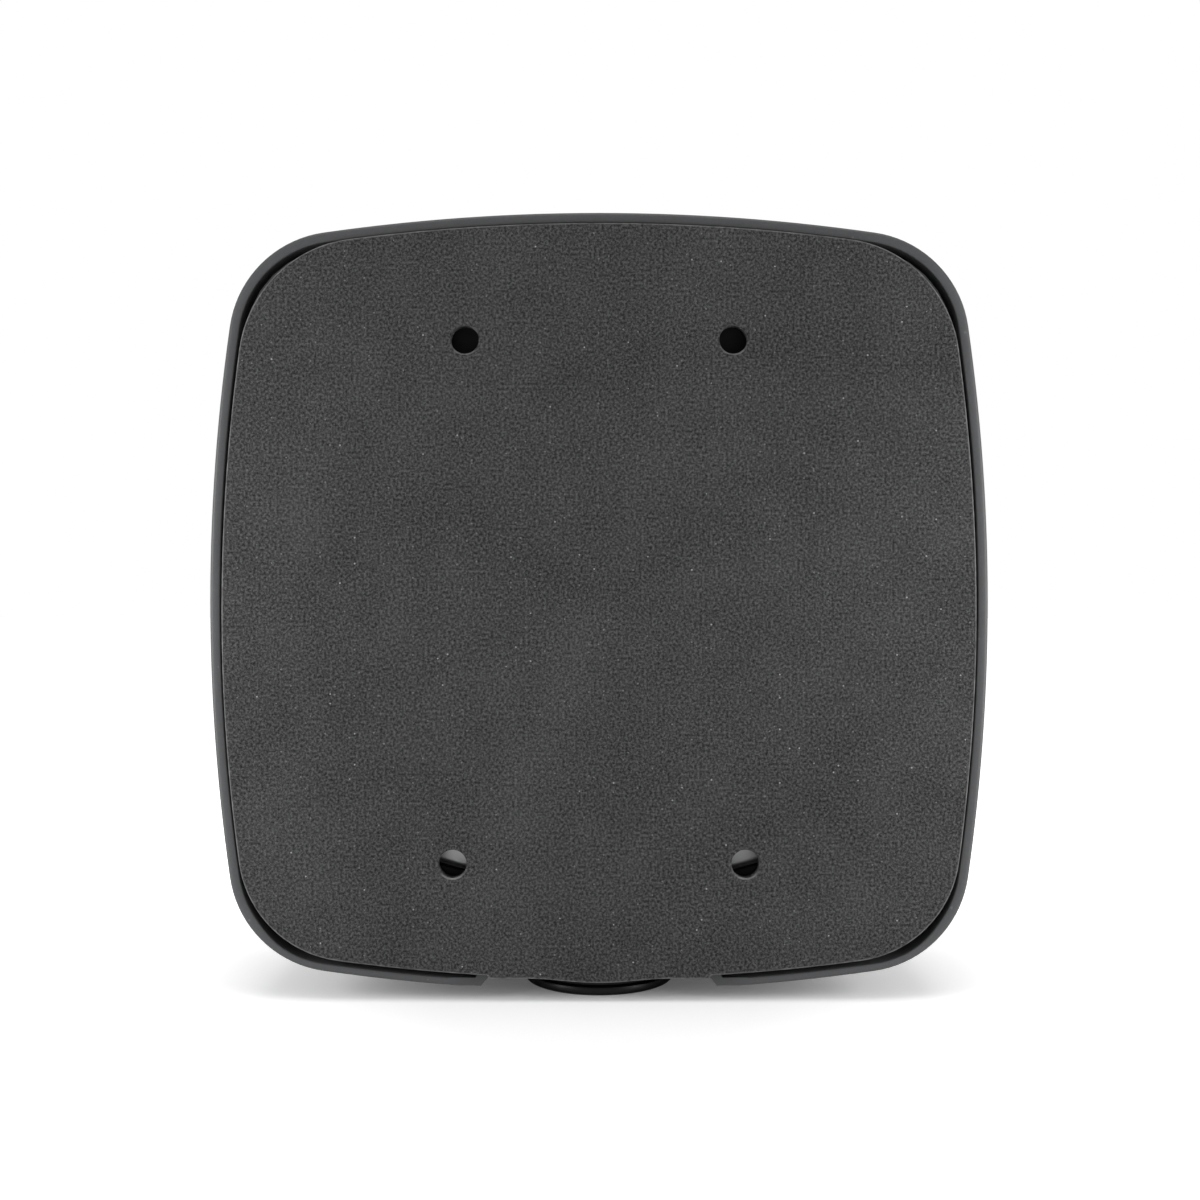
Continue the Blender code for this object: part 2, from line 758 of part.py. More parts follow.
def buildReset():
    """The reset button in the flat, its seal and the switch above it."""
    switch_z = board_bottom + 0.003
    switch = block("reset_switch", (button_x, parts_back + 0.0016, switch_z),
                   (0.0060, 0.0032, 0.0056), black_plastic, 0.0002)
    nose_low = switch_nose
    nose = rods("switch_nose", [(button_x, parts_back + 0.0016)], 0.0010, nose_low,
                switch_z, axis="Z", steps=12)
    boolean(switch, nose, "UNION")

    face = seat_z
    tip = nose_low - button_travel - gap
    groove = seat_z + guide_height * 0.55
    profile = [(0.0, tip), (0.0012, tip), (0.0012, groove + 0.0012 + 0.0060),
               (button_radius, groove + 0.0012 + 0.0060), (button_radius, groove + 0.0006),
               (button_radius - 0.0006, groove + 0.0006), (button_radius - 0.0006, groove - 0.0006),
               (button_radius, groove - 0.0006), (button_radius, face + 0.0002),
               (button_radius - 0.0002, face), (0.0, face)]
    button = turned("reset_button", profile, (button_x, button_y, 0.0), button_grey, 20)
    smooth(button)
    inner = button_radius - 0.0006 + 0.0001
    outer = button_radius + 0.0001
    band = 0.0004
    seal = [(inner, groove + band), (outer, groove + band), (outer, groove - band),
            (inner, groove - band)]
    turned("button_seal", seal, (button_x, button_y, 0.0), seal_rubber, 20)


def buildPipe():
    """The light pipe from the status light to the front face."""
    start = parts_back + 0.0012 + gap
    end = front_edge + front_dome * 0.7
    collar = carrier_y - gap
    profile = [(0.0, end - start), (pipe_radius, end - start), (pipe_radius, collar - start),
               (pipe_radius + 0.0010, collar - start), (pipe_radius + 0.0010, collar - start - 0.0012),
               (pipe_radius, collar - start - 0.0012), (pipe_radius, 0.0), (0.0, 0.0)]
    turned("light_pipe", profile, (0.0, start, pipe_z), clear_plastic, 16, axis="front")


# Antennas -----------------------------------------------------------------------


def buildCarrier():
    """The plastic frame that holds the antennas in front of the board."""
    top = carrier_half
    outline = [(top, -0.044), (top, 0.040), (0.044, 0.048), (-0.044, 0.048), (-top, 0.040),
               (-top, -0.044), (-0.018, -0.044), (-0.018, -0.020), (0.018, -0.020), (0.018, -0.044)]
    hole = circle(0.0, pipe_z, pipe_radius + gap, 12)
    carrier = sheet("antenna_carrier", [outline, hole], carrier_y, carrier_y + carrier_thickness,
                    white_plastic)
    posts = rods("carrier_posts", board_screw_places, 0.0028, parts_back, carrier_y + 0.0005)
    boolean(carrier, posts, "UNION")
    boolean(carrier, rods("carrier_bores", board_screw_places, screw_shank + gap,
                          parts_back - 0.001, carrier_y + carrier_thickness + 0.001, steps=12))


def buildAntennas():
    """Four stamped antennas, each with a folded fin, its lead and its plug."""
    base = carrier_y + carrier_thickness + gap
    for name, (x, z) in antenna_places.items():
        side = math.copysign(1, x)
        up = math.copysign(1, z)
        blade = 0.0005
        antenna = block(name, (x, base + blade / 2, z), (0.024, blade, 0.010), tinned_steel)
        fin = block(f"{name}_fin", (x, base + 0.0020, z + up * 0.00475), (0.024, 0.0040, blade))
        boolean(antenna, fin, "UNION")
        slot = block(f"{name}_slot", (x + side * 0.003, base, z - up * 0.0015),
                     (0.013, 0.002, 0.0022))
        boolean(antenna, slot)
        edge_x = side * (carrier_half + 0.0014)
        turn_x = side * 0.044
        plug_x, plug_z = side * 0.026, 0.013 + up * 0.009
        lead_z = z - up * 0.003
        level = base + blade + gap + lead_radius
        plug_top = parts_back + 0.0022
        points = [(x + side * 0.010, level, lead_z), (edge_x - side * 0.001, level, lead_z),
                  (edge_x, level - 0.0012, lead_z), (edge_x, carrier_y - 0.004, lead_z),
                  (edge_x - side * 0.003, carrier_y - 0.007, lead_z),
                  (turn_x, carrier_y - 0.008, lead_z - up * 0.001),
                  (plug_x + side * 0.003, carrier_y - 0.009, plug_z + up * 0.004),
                  (plug_x + side * 0.0005, carrier_y - 0.0095, plug_z + up * 0.0005),
                  (plug_x, carrier_y - 0.0105, plug_z),
                  (plug_x, plug_top + gap, plug_z)]
        tube(name.replace("antenna", "antenna_lead"), points, lead_radius, lead_jacket)
        profile = [(0.0, 0.0022), (0.0013, 0.0022), (0.0013, 0.0014), (0.0016, 0.0014),
                   (0.0016, 0.0), (0.0, 0.0)]
        turned(name.replace("antenna", "coax_plug"), profile, (plug_x, parts_back, plug_z),
               tinned_steel, 12, axis="front")


# The cable gland ----------------------------------------------------------------


def buildGland():
    """Gasket, threaded body, lock nut, rubber seal and the round cap."""
    place = (0.0, gland_y, 0.0)
    loose = neck_radius + gap
    gasket = [(loose, gasket_top), (gasket_radius, gasket_top),
              (gasket_radius, gasket_top - gasket_thickness),
              (loose, gasket_top - gasket_thickness)]
    turned("gland_gasket", gasket, place, seal_rubber, 40)

    lip = neck_top - neck_lip
    body = [(cable_hole + 0.0012, neck_top), (neck_radius, neck_top), (neck_radius, flange_top),
            (flange_radius - 0.0004, flange_top), (flange_radius, flange_top - 0.0004),
            (flange_radius, flange_low), (neck_bore, flange_low), (neck_bore, lip),
            (cable_hole + 0.0012, lip)]
    turned("gland_body", body, place, black_plastic, 40)

    nut_low = inner_seat + gap
    nut = rods("gland_lock_nut", [(0.0, gland_y)], nut_flats / math.sqrt(3), nut_low,
               nut_low + nut_thickness, black_plastic, 6, "Z", math.pi / 6)
    boolean(nut, rods("nut_bore", [(0.0, gland_y)], loose, nut_low - 0.001,
                      nut_low + nut_thickness + 0.001, steps=32, axis="Z"))

    sleeve_top = flange_low + plug_length
    outer = neck_bore - gap
    seal = [(cable_hole - 0.0002, lip - gap), (outer, lip - gap), (outer, sleeve_top + gap),
            (cable_hole - 0.0002, sleeve_top + gap)]
    turned("gland_seal", seal, place, seal_rubber, 32)

    cap = [(cable_hole + 0.0004, sleeve_top), (outer, sleeve_top), (outer, cap_top),
           (cap_radius - 0.0003, cap_top), (cap_radius, cap_top - 0.0003),
           (cap_radius, cap_low + 0.0005), (cap_radius - 0.0005, cap_low),
           (cable_hole + 0.0004, cap_low)]
    turned("gland_cap", cap, place, black_plastic, 48)


buildPad()
buildPlate()
buildShell()
buildCover()
buildSink()
buildBoard()
buildBoardScrews()
buildReset()
buildPipe()
buildCarrier()
buildAntennas()
buildGland()
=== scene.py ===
import json
import math

import bmesh
import bpy
from mathutils import Matrix, Vector


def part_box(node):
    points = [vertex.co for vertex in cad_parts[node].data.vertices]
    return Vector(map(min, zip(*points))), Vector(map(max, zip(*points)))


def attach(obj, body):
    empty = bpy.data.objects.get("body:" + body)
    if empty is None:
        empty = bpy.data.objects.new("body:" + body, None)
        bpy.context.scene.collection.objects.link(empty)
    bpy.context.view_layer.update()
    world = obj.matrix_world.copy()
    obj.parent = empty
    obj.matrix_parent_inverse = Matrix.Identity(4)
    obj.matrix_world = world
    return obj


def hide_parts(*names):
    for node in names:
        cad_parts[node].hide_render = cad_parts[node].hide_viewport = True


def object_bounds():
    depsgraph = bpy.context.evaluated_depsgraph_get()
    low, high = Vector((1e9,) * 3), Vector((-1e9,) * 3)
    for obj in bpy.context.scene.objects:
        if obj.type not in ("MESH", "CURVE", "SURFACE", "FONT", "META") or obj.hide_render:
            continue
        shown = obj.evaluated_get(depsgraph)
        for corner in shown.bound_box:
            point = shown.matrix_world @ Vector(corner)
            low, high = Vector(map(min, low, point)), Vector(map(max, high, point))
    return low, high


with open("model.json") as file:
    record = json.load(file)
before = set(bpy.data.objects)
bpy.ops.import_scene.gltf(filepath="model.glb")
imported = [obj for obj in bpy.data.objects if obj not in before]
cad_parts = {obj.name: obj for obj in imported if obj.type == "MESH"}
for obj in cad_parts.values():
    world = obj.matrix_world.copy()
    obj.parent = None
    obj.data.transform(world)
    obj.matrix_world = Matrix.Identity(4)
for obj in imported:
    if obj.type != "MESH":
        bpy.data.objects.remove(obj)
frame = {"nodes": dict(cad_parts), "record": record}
cadLow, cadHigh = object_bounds()
nodes = frame["nodes"]
print("frame loaded:", len(nodes), "parts")


class Wire:
    # a value in a material that Python's own operators work on

    def __init__(self, tree, socket):
        self.tree = tree
        self.socket = socket

    def combine(self, operation, first, second=None):
        made = self.tree.nodes.new("ShaderNodeMath")
        made.operation = operation
        for slot, value in zip(made.inputs, (first, second)):
            if isinstance(value, Wire):
                self.tree.links.new(value.socket, slot)
            elif value is not None:
                slot.default_value = value
        return Wire(self.tree, made.outputs[0])

    def __add__(self, other):
        return self.combine("ADD", self, other)

    __radd__ = __add__

    def __sub__(self, other):
        return self.combine("SUBTRACT", self, other)

    def __rsub__(self, other):
        return self.combine("SUBTRACT", other, self)

    def __mul__(self, other):
        return self.combine("MULTIPLY", self, other)

    __rmul__ = __mul__

    def atLeast(self, limit):
        return self.combine("MAXIMUM", self, limit)

    def over(self, limit):
        return self.combine("GREATER_THAN", self, limit)

    def under(self, limit):
        return self.combine("LESS_THAN", self, limit)


class Finish:
    # the nodes of one material or world: fixed values go on the closing node's own sockets,
    # patterns on top; home is the list that the owner goes into

    def __init__(self, name, fixed, home=bpy.data.materials, closing="Principled BSDF"):
        self.owner = home.new(name)
        self.owner.use_nodes = True
        self.tree = self.owner.node_tree
        self.closing = self.tree.nodes[closing]
        for socket, value in fixed.items():
            self.closing.inputs[socket].default_value = value
        self.place = self.node("ShaderNodeTexCoord", {}, {}, "Object")

    def node(self, kind, settings, values, out=0):
        made = self.tree.nodes.new(kind)
        for name, value in settings.items():
            setattr(made, name, value)
        for name, value in values.items():
            if isinstance(value, Wire):
                self.tree.links.new(value.socket, made.inputs[name])
            else:
                made.inputs[name].default_value = value
        return Wire(self.tree, made.outputs[out])

    def noise(self, scale, detail=2.0, rough=0.5, stretch=None):
        place = self.place
        if stretch:
            place = self.node("ShaderNodeMapping", {}, {"Vector": place, "Scale": stretch})
        return self.node("ShaderNodeTexNoise", {},
                         {"Vector": place, "Scale": scale, "Detail": detail, "Roughness": rough})

    def cells(self, scale, out="Distance"):
        return self.node("ShaderNodeTexVoronoi", {}, {"Vector": self.place, "Scale": scale}, out)

    def ranged(self, value, low, high, start=0.0, end=1.0):
        return self.node("ShaderNodeMapRange", {},
                         {"Value": value, "From Min": low, "From Max": high, "To Min": start,
                          "To Max": end})

    def mix(self, amount, first, second):
        values = {0: amount}
        for index, colour in ((6, first), (7, second)):
            values[index] = colour if isinstance(colour, Wire) else (*colour, 1.0)
        return self.node("ShaderNodeMix", {"data_type": "RGBA"}, values, 2)

    def tinted(self, tint, tone):
        return self.node("ShaderNodeVectorMath", {"operation": "SCALE"}, {0: tint, "Scale": tone})

    def feed(self, socket, value):
        self.tree.links.new(value.socket, self.closing.inputs[socket])

    def bump(self, height, strength, depth):
        values = {"Height": height, "Strength": strength, "Distance": depth}
        self.feed("Normal", self.node("ShaderNodeBump", {}, values))


def grey(value, warmth=0.0):
    return (value * (1 + warmth), value, value * (1 - warmth))


def foamFinish():
    look = {
        "tint": (0.0418, 0.0419, 0.0424), "grain": 1850, "contrast": 5.6, "sparkle": 2.0,
        "blotch": 90, "blotchSwing": 0.62, "cloud": 30, "cloudSwing": 0.55, "darkest": 0.2,
        "speck": 1000, "speckSize": 0.17, "speckTint": grey(0.145), "brightTint": grey(0.30),
        "tear": 420, "edgeTint": (0.185, 0.185, 0.182),
    }
    made = Finish("closedCellFoam", {"Roughness": 0.90, "Specular IOR Level": 0.25})
    fine = made.noise(look["grain"], 2.5, 0.75)
    soft = made.noise(look["blotch"], 3.0, 0.6)
    broad = made.noise(look["cloud"], 2.0)
    pores = made.ranged(made.cells(look["grain"] * 0.7), 0.05, 0.35)
    swing = fine - 0.5
    tone = 1.0 + swing * look["contrast"] + swing.atLeast(0.0) * look["sparkle"]
    tone = tone + (soft - 0.5) * look["blotchSwing"] + (broad - 0.5) * look["cloudSwing"]
    shade = made.tinted(look["tint"], tone.atLeast(look["darkest"]) * (0.84 + 0.16 * pores))
    chance = made.node("ShaderNodeSeparateColor", {},
                       {"Color": made.cells(look["speck"], "Color")}, "Red")
    specks = made.cells(look["speck"]).under(look["speckSize"])
    shade = made.mix(specks * chance.over(0.90), shade, look["speckTint"])
    shade = made.mix(specks * chance.over(0.985), shade, look["brightTint"])
    # painted highlight: a lighter colour on the pad's rounded edges and on the lower lips of its
    # holes, wherever the edge attribute is set, broken up by a noise
    edge = made.node("ShaderNodeAttribute", {"attribute_name": "edge"}, {}, "Fac")
    brokenHighlight = (made.noise(look["tear"], 3.0) * 2.2 - 0.45).atLeast(0.15)
    made.feed("Base Color", made.mix(edge * brokenHighlight, shade, look["edgeTint"]))
    made.bump(fine * 0.7 + pores * 0.3, 0.7, 0.00025)
    return made.owner


def shellFinish():
    look = {"tint": (0.0720, 0.0731, 0.0757), "texture": 2600, "cloud": 60, "roughness": 0.48,
            "dust": 430, "dustTint": grey(0.18), "dustShare": 0.35}
    made = Finish("housingPlastic", {"Specular IOR Level": 0.36})
    texture = made.noise(look["texture"], 2.0, 0.6)
    cloud = made.noise(look["cloud"], 3.0)
    dust = made.cells(look["dust"]).under(0.13) * made.noise(300).over(0.60)
    shade = made.tinted(look["tint"], 1.0 + (texture - 0.5) * 0.35 + (cloud - 0.5) * 0.18)
    made.feed("Base Color", made.mix(dust * look["dustShare"], shade, look["dustTint"]))
    made.feed("Roughness", look["roughness"] + (cloud - 0.5) * 0.16 + (texture - 0.5) * 0.10)
    made.bump(texture, 0.35, 0.00006)
    return made.owner


def mouldedFinish(name, tint, roughness, texture=2200, depth=0.00004, specular=0.5):
    made = Finish(name, {"Specular IOR Level": specular})
    fine = made.noise(texture, 2.0)
    cloud = made.noise(75, 3.0)
    made.feed("Base Color", made.tinted(tint, 1.0 + (fine - 0.5) * 0.22 + (cloud - 0.5) * 0.25))
    made.feed("Roughness", roughness + (cloud - 0.5) * 0.18)
    made.bump(fine, 0.3, depth)
    return made.owner


def blendedFinish(name, fixed, pattern, shades, roughness, relief):
    # colour, roughness and relief follow one pattern; roughness is its middle and its swing
    made = Finish(name, fixed)
    field = made.noise(*pattern)
    made.feed("Base Color", made.mix(field, *shades))
    made.feed("Roughness", roughness[0] + (field - 0.5) * roughness[1])
    made.bump(field, *relief)
    return made.owner


def rubberFinish():
    made = Finish("blackRubber", {"Specular IOR Level": 0.35, "Sheen Weight": 0.05})
    bloom = made.noise(140, 4.0)
    made.feed("Base Color", made.mix(bloom, grey(0.010), grey(0.022, 0.03)))
    made.feed("Roughness", 0.72 + (bloom - 0.5) * 0.25)
    made.bump(made.noise(1800, 3.0), 0.3, 0.00005)
    return made.owner


def castFinish():
    made = Finish("castAluminium", {"Metallic": 0.80})
    skin = made.noise(900, 5.0, 0.7)
    flow = made.noise(60, 4.0, 0.5, (1.0, 1.0, 0.25))
    made.feed("Base Color", made.mix(skin, grey(0.38), (0.50, 0.505, 0.51)))
    made.feed("Roughness", 0.42 + (flow - 0.5) * 0.35 + (skin - 0.5) * 0.15)
    made.bump(skin, 0.5, 0.00010)
    return made.owner


def steelFinish(name, tint, roughness, scratch=1400):
    made = Finish(name, {"Metallic": 1.0})
    drawn = made.noise(scratch, 3.0, 0.5, (1.0, 0.08, 1.0))
    stain = made.noise(160, 4.0)
    dull = tuple(channel * 0.82 for channel in tint)
    made.feed("Base Color", made.mix(stain, dull, tint))
    made.feed("Roughness", roughness + (drawn - 0.5) * 0.25 + (stain - 0.5) * 0.15)
    made.bump(drawn, 0.2, 0.00002)
    return made.owner


def boardFinish():
    made = Finish("circuitBoard", {"Coat Weight": 0.25, "Coat Roughness": 0.25})
    spread = made.node("ShaderNodeMapping", {}, {"Vector": made.place, "Scale": (1.0, 0.0, 1.0)})
    lines = made.node("ShaderNodeTexVoronoi", {"distance": "CHEBYCHEV"},
                      {"Vector": spread, "Scale": 170.0, "Randomness": 0.8})
    tracks = lines.over(0.40) * lines.under(0.50)
    holes = made.cells(360).under(0.14)
    weave = made.noise(700, 2.0)
    base = made.mix(tracks, (0.010, 0.060, 0.032), (0.020, 0.115, 0.055))
    made.feed("Base Color", made.mix(holes, base, (0.42, 0.33, 0.14)))
    made.feed("Roughness", 0.38 + (weave - 0.5) * 0.20)
    made.bump(tracks + weave * 0.3, 0.4, 0.00004)
    return made.owner


def resinFinish():
    made = Finish("chipResin", {"Specular IOR Level": 0.4})
    fine = made.noise(3200, 3.0)
    rub = made.noise(300, 3.0, 0.5, (1.0, 1.0, 0.1))
    made.feed("Base Color", made.mix(fine, grey(0.014), grey(0.030, 0.02)))
    made.feed("Roughness", 0.50 + (rub - 0.5) * 0.25)
    made.bump(fine, 0.4, 0.00004)
    return made.owner


finishes = {
    "foam": foamFinish(),
    "shell_plastic": shellFinish(),
    "plate_plastic": mouldedFinish("platePlastic", (0.060, 0.061, 0.064), 0.55),
    "cover_plastic": mouldedFinish("coverPlastic", grey(0.0075), 0.60, 1500, 0.00006, 0.3),
    "black_plastic": mouldedFinish("glandPlastic", grey(0.0055), 0.40, 1900, 0.00003, 0.28),
    "button_plastic": mouldedFinish("buttonPlastic", (0.10, 0.10, 0.105), 0.5),
    "white_plastic": mouldedFinish("carrierPlastic", (0.60, 0.60, 0.575), 0.45),
    "lead_jacket": mouldedFinish("leadJacket", grey(0.024), 0.38, 2600, 0.00002),
    "seal_rubber": rubberFinish(),
    "cast_metal": castFinish(),
    "can_aluminium": steelFinish("canAluminium", (0.70, 0.70, 0.71), 0.30),
    "screw_steel": steelFinish("screwSteel", (0.46, 0.46, 0.47), 0.32),
    "tinned_steel": steelFinish("tinnedSteel", (0.66, 0.66, 0.64), 0.28, 900),
    "board": boardFinish(),
    "chip_resin": resinFinish(),
    "thermal_pad": blendedFinish("thermalPad", {"Specular IOR Level": 0.2}, (1500, 4.0, 0.7),
                                 ((0.26, 0.33, 0.40), (0.42, 0.50, 0.56)), (0.85, 0.15),
                                 (0.6, 0.00010)),
    "ferrite": blendedFinish("ferrite", {"Specular IOR Level": 0.4}, (2600, 4.0, 0.7),
                             (grey(0.035, 0.04), grey(0.085, 0.04)), (0.66, 0.3), (0.6, 0.00006)),
    "clear_plastic": blendedFinish("lightPipePlastic", {"Transmission Weight": 0.55, "IOR": 1.49},
                                   (400, 2.0), (grey(0.70), (0.84, 0.86, 0.88)), (0.18, 0.12),
                                   (0.1, 0.00003)),
    "led": mouldedFinish("ledResin", (0.74, 0.73, 0.60), 0.3),
}
gold = blendedFinish("goldContact", {"Metallic": 1.0}, (1800, 2.0, 0.5, (1.0, 1.0, 0.1)),
                     ((0.70, 0.48, 0.16), (0.86, 0.64, 0.27)), (0.22, 0.2), (0.1, 0.00001))
print("finishes written:", len(finishes) + 1)


def placeOf(node):
    low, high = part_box(node)
    return (low + high) / 2, low, high


def camel(node):
    words = node.split("_")
    return words[0] + "".join(word.title() for word in words[1:])


def named(*starts):
    return [node for node in sorted(nodes) if node.startswith(starts)]


def share(value, start, span):
    # how far a value lies into a span, from 0 to 1
    return min(1.0, max(0.0, (value - start) / span))


def placed(name, data):
    made = bpy.data.objects.new(name, data)
    bpy.context.scene.collection.objects.link(made)
    return made


def linked(bm, name):
    # a bmesh as an object of the scene
    mesh = bpy.data.meshes.new(name)
    bm.to_mesh(mesh)
    bm.free()
    return placed(name, mesh)


def finished(bm, name, look, body, replaced=(), angle=0.6):
    # a bmesh becomes a piece of the object that rides on its body
    piece = linked(bm, name)
    piece.data.materials.append(finishes[look])
    piece.data.shade_smooth()
    piece.data.set_sharp_from_angle(angle=angle)
    if replaced:
        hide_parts(*replaced)
    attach(piece, body)
    return piece


def closed(bm, merge=1e-6):
    bmesh.ops.remove_doubles(bm, verts=bm.verts, dist=merge)
    bmesh.ops.recalc_face_normals(bm, faces=bm.faces)
    return bm


def thickened(bm, back, front):
    # flat faces in the XZ plane become a solid between two depths
    made = bmesh.ops.extrude_face_region(bm, geom=bm.faces[:])["geom"]
    fresh = [g for g in made if isinstance(g, bmesh.types.BMVert)]
    bmesh.ops.translate(bm, vec=(0, front - back, 0), verts=fresh)
    bmesh.ops.translate(bm, vec=(0, back, 0), verts=bm.verts)
    return closed(bm)


def spun(profile, centre, steps, axis=(0, 0, 1)):
    # (radius, height) points swept a full turn round an axis through the centre
    bm = bmesh.new()
    last = None
    edges = []
    for radius, height in profile:
        point = bm.verts.new((radius, 0.0, height))
        if last:
            edges.append(bm.edges.new((last, point)))
        last = point
    if profile[0][0] > 0:
        bm.verts.ensure_lookup_table()
        edges.append(bm.edges.new((last, bm.verts[0])))
    bmesh.ops.spin(bm, geom=bm.verts[:] + bm.edges[:], cent=(0, 0, 0), axis=(0, 0, 1),
                   angle=2 * math.pi, steps=steps, use_merge=True)
    closed(bm)
    turn = Vector((0, 0, 1)).rotation_difference(Vector(axis)).to_matrix().to_4x4()
    bmesh.ops.transform(bm, matrix=Matrix.Translation(centre) @ turn, verts=bm.verts)
    return bm


def softCorners(points, radius, steps):
    # a ring's section whose corners are rounded with short arcs
    rounded = []
    for index, point in enumerate(points):
        before = Vector(points[index - 1])
        after = Vector(points[(index + 1) % len(points)])
        here = Vector(point)
        reach = min(radius, (before - here).length * 0.45, (after - here).length * 0.45)
        start = here + (before - here).normalized() * reach
        end = here + (after - here).normalized() * reach
        for step in range(steps + 1):
            t = step / steps
            blend = start * (1 - t) ** 2 + here * 2 * t * (1 - t) + end * t * t
            rounded.append((blend.x, blend.y))
    return rounded


def carve(bm, changes):
    # bmesh after a list of (operation, other bmesh) Booleans
    target = linked(bm, "blank")
    helpers = []
    for operation, other in changes:
        helper = linked(other, "helper")
        change = target.modifiers.new("change", "BOOLEAN")
        change.operation = operation
        change.object = helper
        change.solver = "EXACT"
        helpers.append(helper)
    graph = bpy.context.evaluated_depsgraph_get()
    graph.update()
    made = bmesh.new()
    mesh = bpy.data.meshes.new_from_object(target.evaluated_get(graph))
    made.from_mesh(mesh)
    bmesh.ops.remove_doubles(made, verts=made.verts, dist=2e-6)
    for item in helpers + [target]:
        bpy.data.objects.remove(item)
    return made


def bar(radius, start, end, steps=32):
    # a round bar between two points
    start, end = Vector(start), Vector(end)
    bm = bmesh.new()
    bmesh.ops.create_cone(bm, cap_ends=True, segments=steps, radius1=radius, radius2=radius,
                          depth=(end - start).length)
    turn = Vector((0, 0, 1)).rotation_difference(end - start).to_matrix().to_4x4()
    bmesh.ops.transform(bm, matrix=Matrix.Translation((start + end) / 2) @ turn, verts=bm.verts)
    return bm


def brick(low, high, edge=0.0, segments=2):
    # a box between two corners, with rounded edges
    low, high = Vector(low), Vector(high)
    bm = bmesh.new()
    bmesh.ops.create_cube(bm, size=1.0)
    bmesh.ops.scale(bm, vec=high - low, verts=bm.verts)
    bmesh.ops.translate(bm, vec=(low + high) / 2, verts=bm.verts)
    if edge:
        bmesh.ops.bevel(bm, geom=bm.edges[:], offset=edge, segments=segments, profile=0.5,
                        affect="EDGES", material=-1)
    return bm


def gathered(shapes):
    # several bmeshes as one
    whole = bmesh.new()
    for shape in shapes:
        mesh = bpy.data.meshes.new("part")
        shape.to_mesh(mesh)
        shape.free()
        whole.from_mesh(mesh)
        bpy.data.meshes.remove(mesh)
    return whole


half = (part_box("main_shell")[1].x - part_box("main_shell")[0].x) / 2
seatDepth = 0.0025  # the flat for the gland lies this much inside the outline
near = 1e-5  # places closer than this are one place
outlineShape = {
    "sideRadius": 0.400, "corner": 0.0227, "sideSteps": 28, "cornerSteps": 18,
    "seat": -(half - seatDepth), "seatHalf": 0.0229, "ramp": 0.0015,
}


def cornerCentre(reach, radius, corner):
    base = reach - radius
    inner = radius - corner
    return (base + math.sqrt(2 * inner * inner - base * base)) / 2


def roundedSquare(reach, radius, corners, cuts=()):
    # the outline as a closed loop of edges in the XZ plane, spun arc by arc; corners are
    # the radii at the upper and lower corners, and cuts are X places that need a vertex
    shape = outlineShape
    top, low = corners
    base = reach - radius
    quarters = ((low, top, 0), (top, top, 1), (top, low, 2), (low, low, 3))
    arcs = []
    for before, after, quarter in quarters:
        startC = cornerCentre(reach, radius, before)
        endC = cornerCentre(reach, radius, after)
        startAngle = -math.atan2(startC, startC - base)
        endAngle = math.atan2(endC, endC - base)
        arc = bmesh.new()
        first = arc.verts.new((base + radius * math.cos(startAngle), 0,
                               radius * math.sin(startAngle)))
        bmesh.ops.spin(arc, geom=[first], cent=(base, 0, 0), axis=(0, -1, 0),
                       angle=endAngle - startAngle, steps=shape["sideSteps"])
        arc.verts.ensure_lookup_table()
        tip = max(arc.verts, key=lambda v: v.co.z)
        bmesh.ops.spin(arc, geom=[tip], cent=(endC, 0, endC), axis=(0, -1, 0),
                       angle=math.pi / 2 - 2 * endAngle, steps=shape["cornerSteps"])
        bmesh.ops.rotate(arc, cent=(0, 0, 0), verts=arc.verts,
                         matrix=Matrix.Rotation(-quarter * math.pi / 2, 3, "Y"))
        arcs.append(arc)
    bm = gathered(arcs)
    bmesh.ops.remove_doubles(bm, verts=bm.verts, dist=5e-6)
    for x in cuts:
        lower = [e for e in bm.edges if e.verts[0].co.z < 0]
        bmesh.ops.bisect_plane(bm, geom=lower + list({v for e in lower for v in e.verts}),
                               dist=1e-6, plane_co=(x, 0, 0), plane_no=(1, 0, 0))
    return bm


def inwardOf(bm):
    # how each vertex moves for one metre of inset
    moves = {}
    for vert in bm.verts:
        ahead = [e.other_vert(vert).co - vert.co for e in vert.link_edges]
        along = (ahead[0].normalized() - ahead[1].normalized()).normalized()
        inward = Vector((-along.z, 0, along.x))
        if inward.dot(vert.co) > 0:
            inward.negate()
        moves[vert.index] = inward
    return moves


def grownRing(bm, edges):
    # one more ring of the wall; the new vertices come back in the old ones' order
    ring = {v for e in edges for v in e.verts}
    made = bmesh.ops.extrude_edge_only(bm, edges=edges)["geom"]
    fresh = [g for g in made if isinstance(g, bmesh.types.BMVert)]
    pairs = {}
    for vert in fresh:
        for edge in vert.link_edges:
            other = edge.other_vert(vert)
            if other in ring:
                pairs[other] = vert
    newEdges = [g for g in made if isinstance(g, bmesh.types.BMEdge)
                and g.verts[0] in pairs.values() and g.verts[1] in pairs.values()]
    return pairs, newEdges


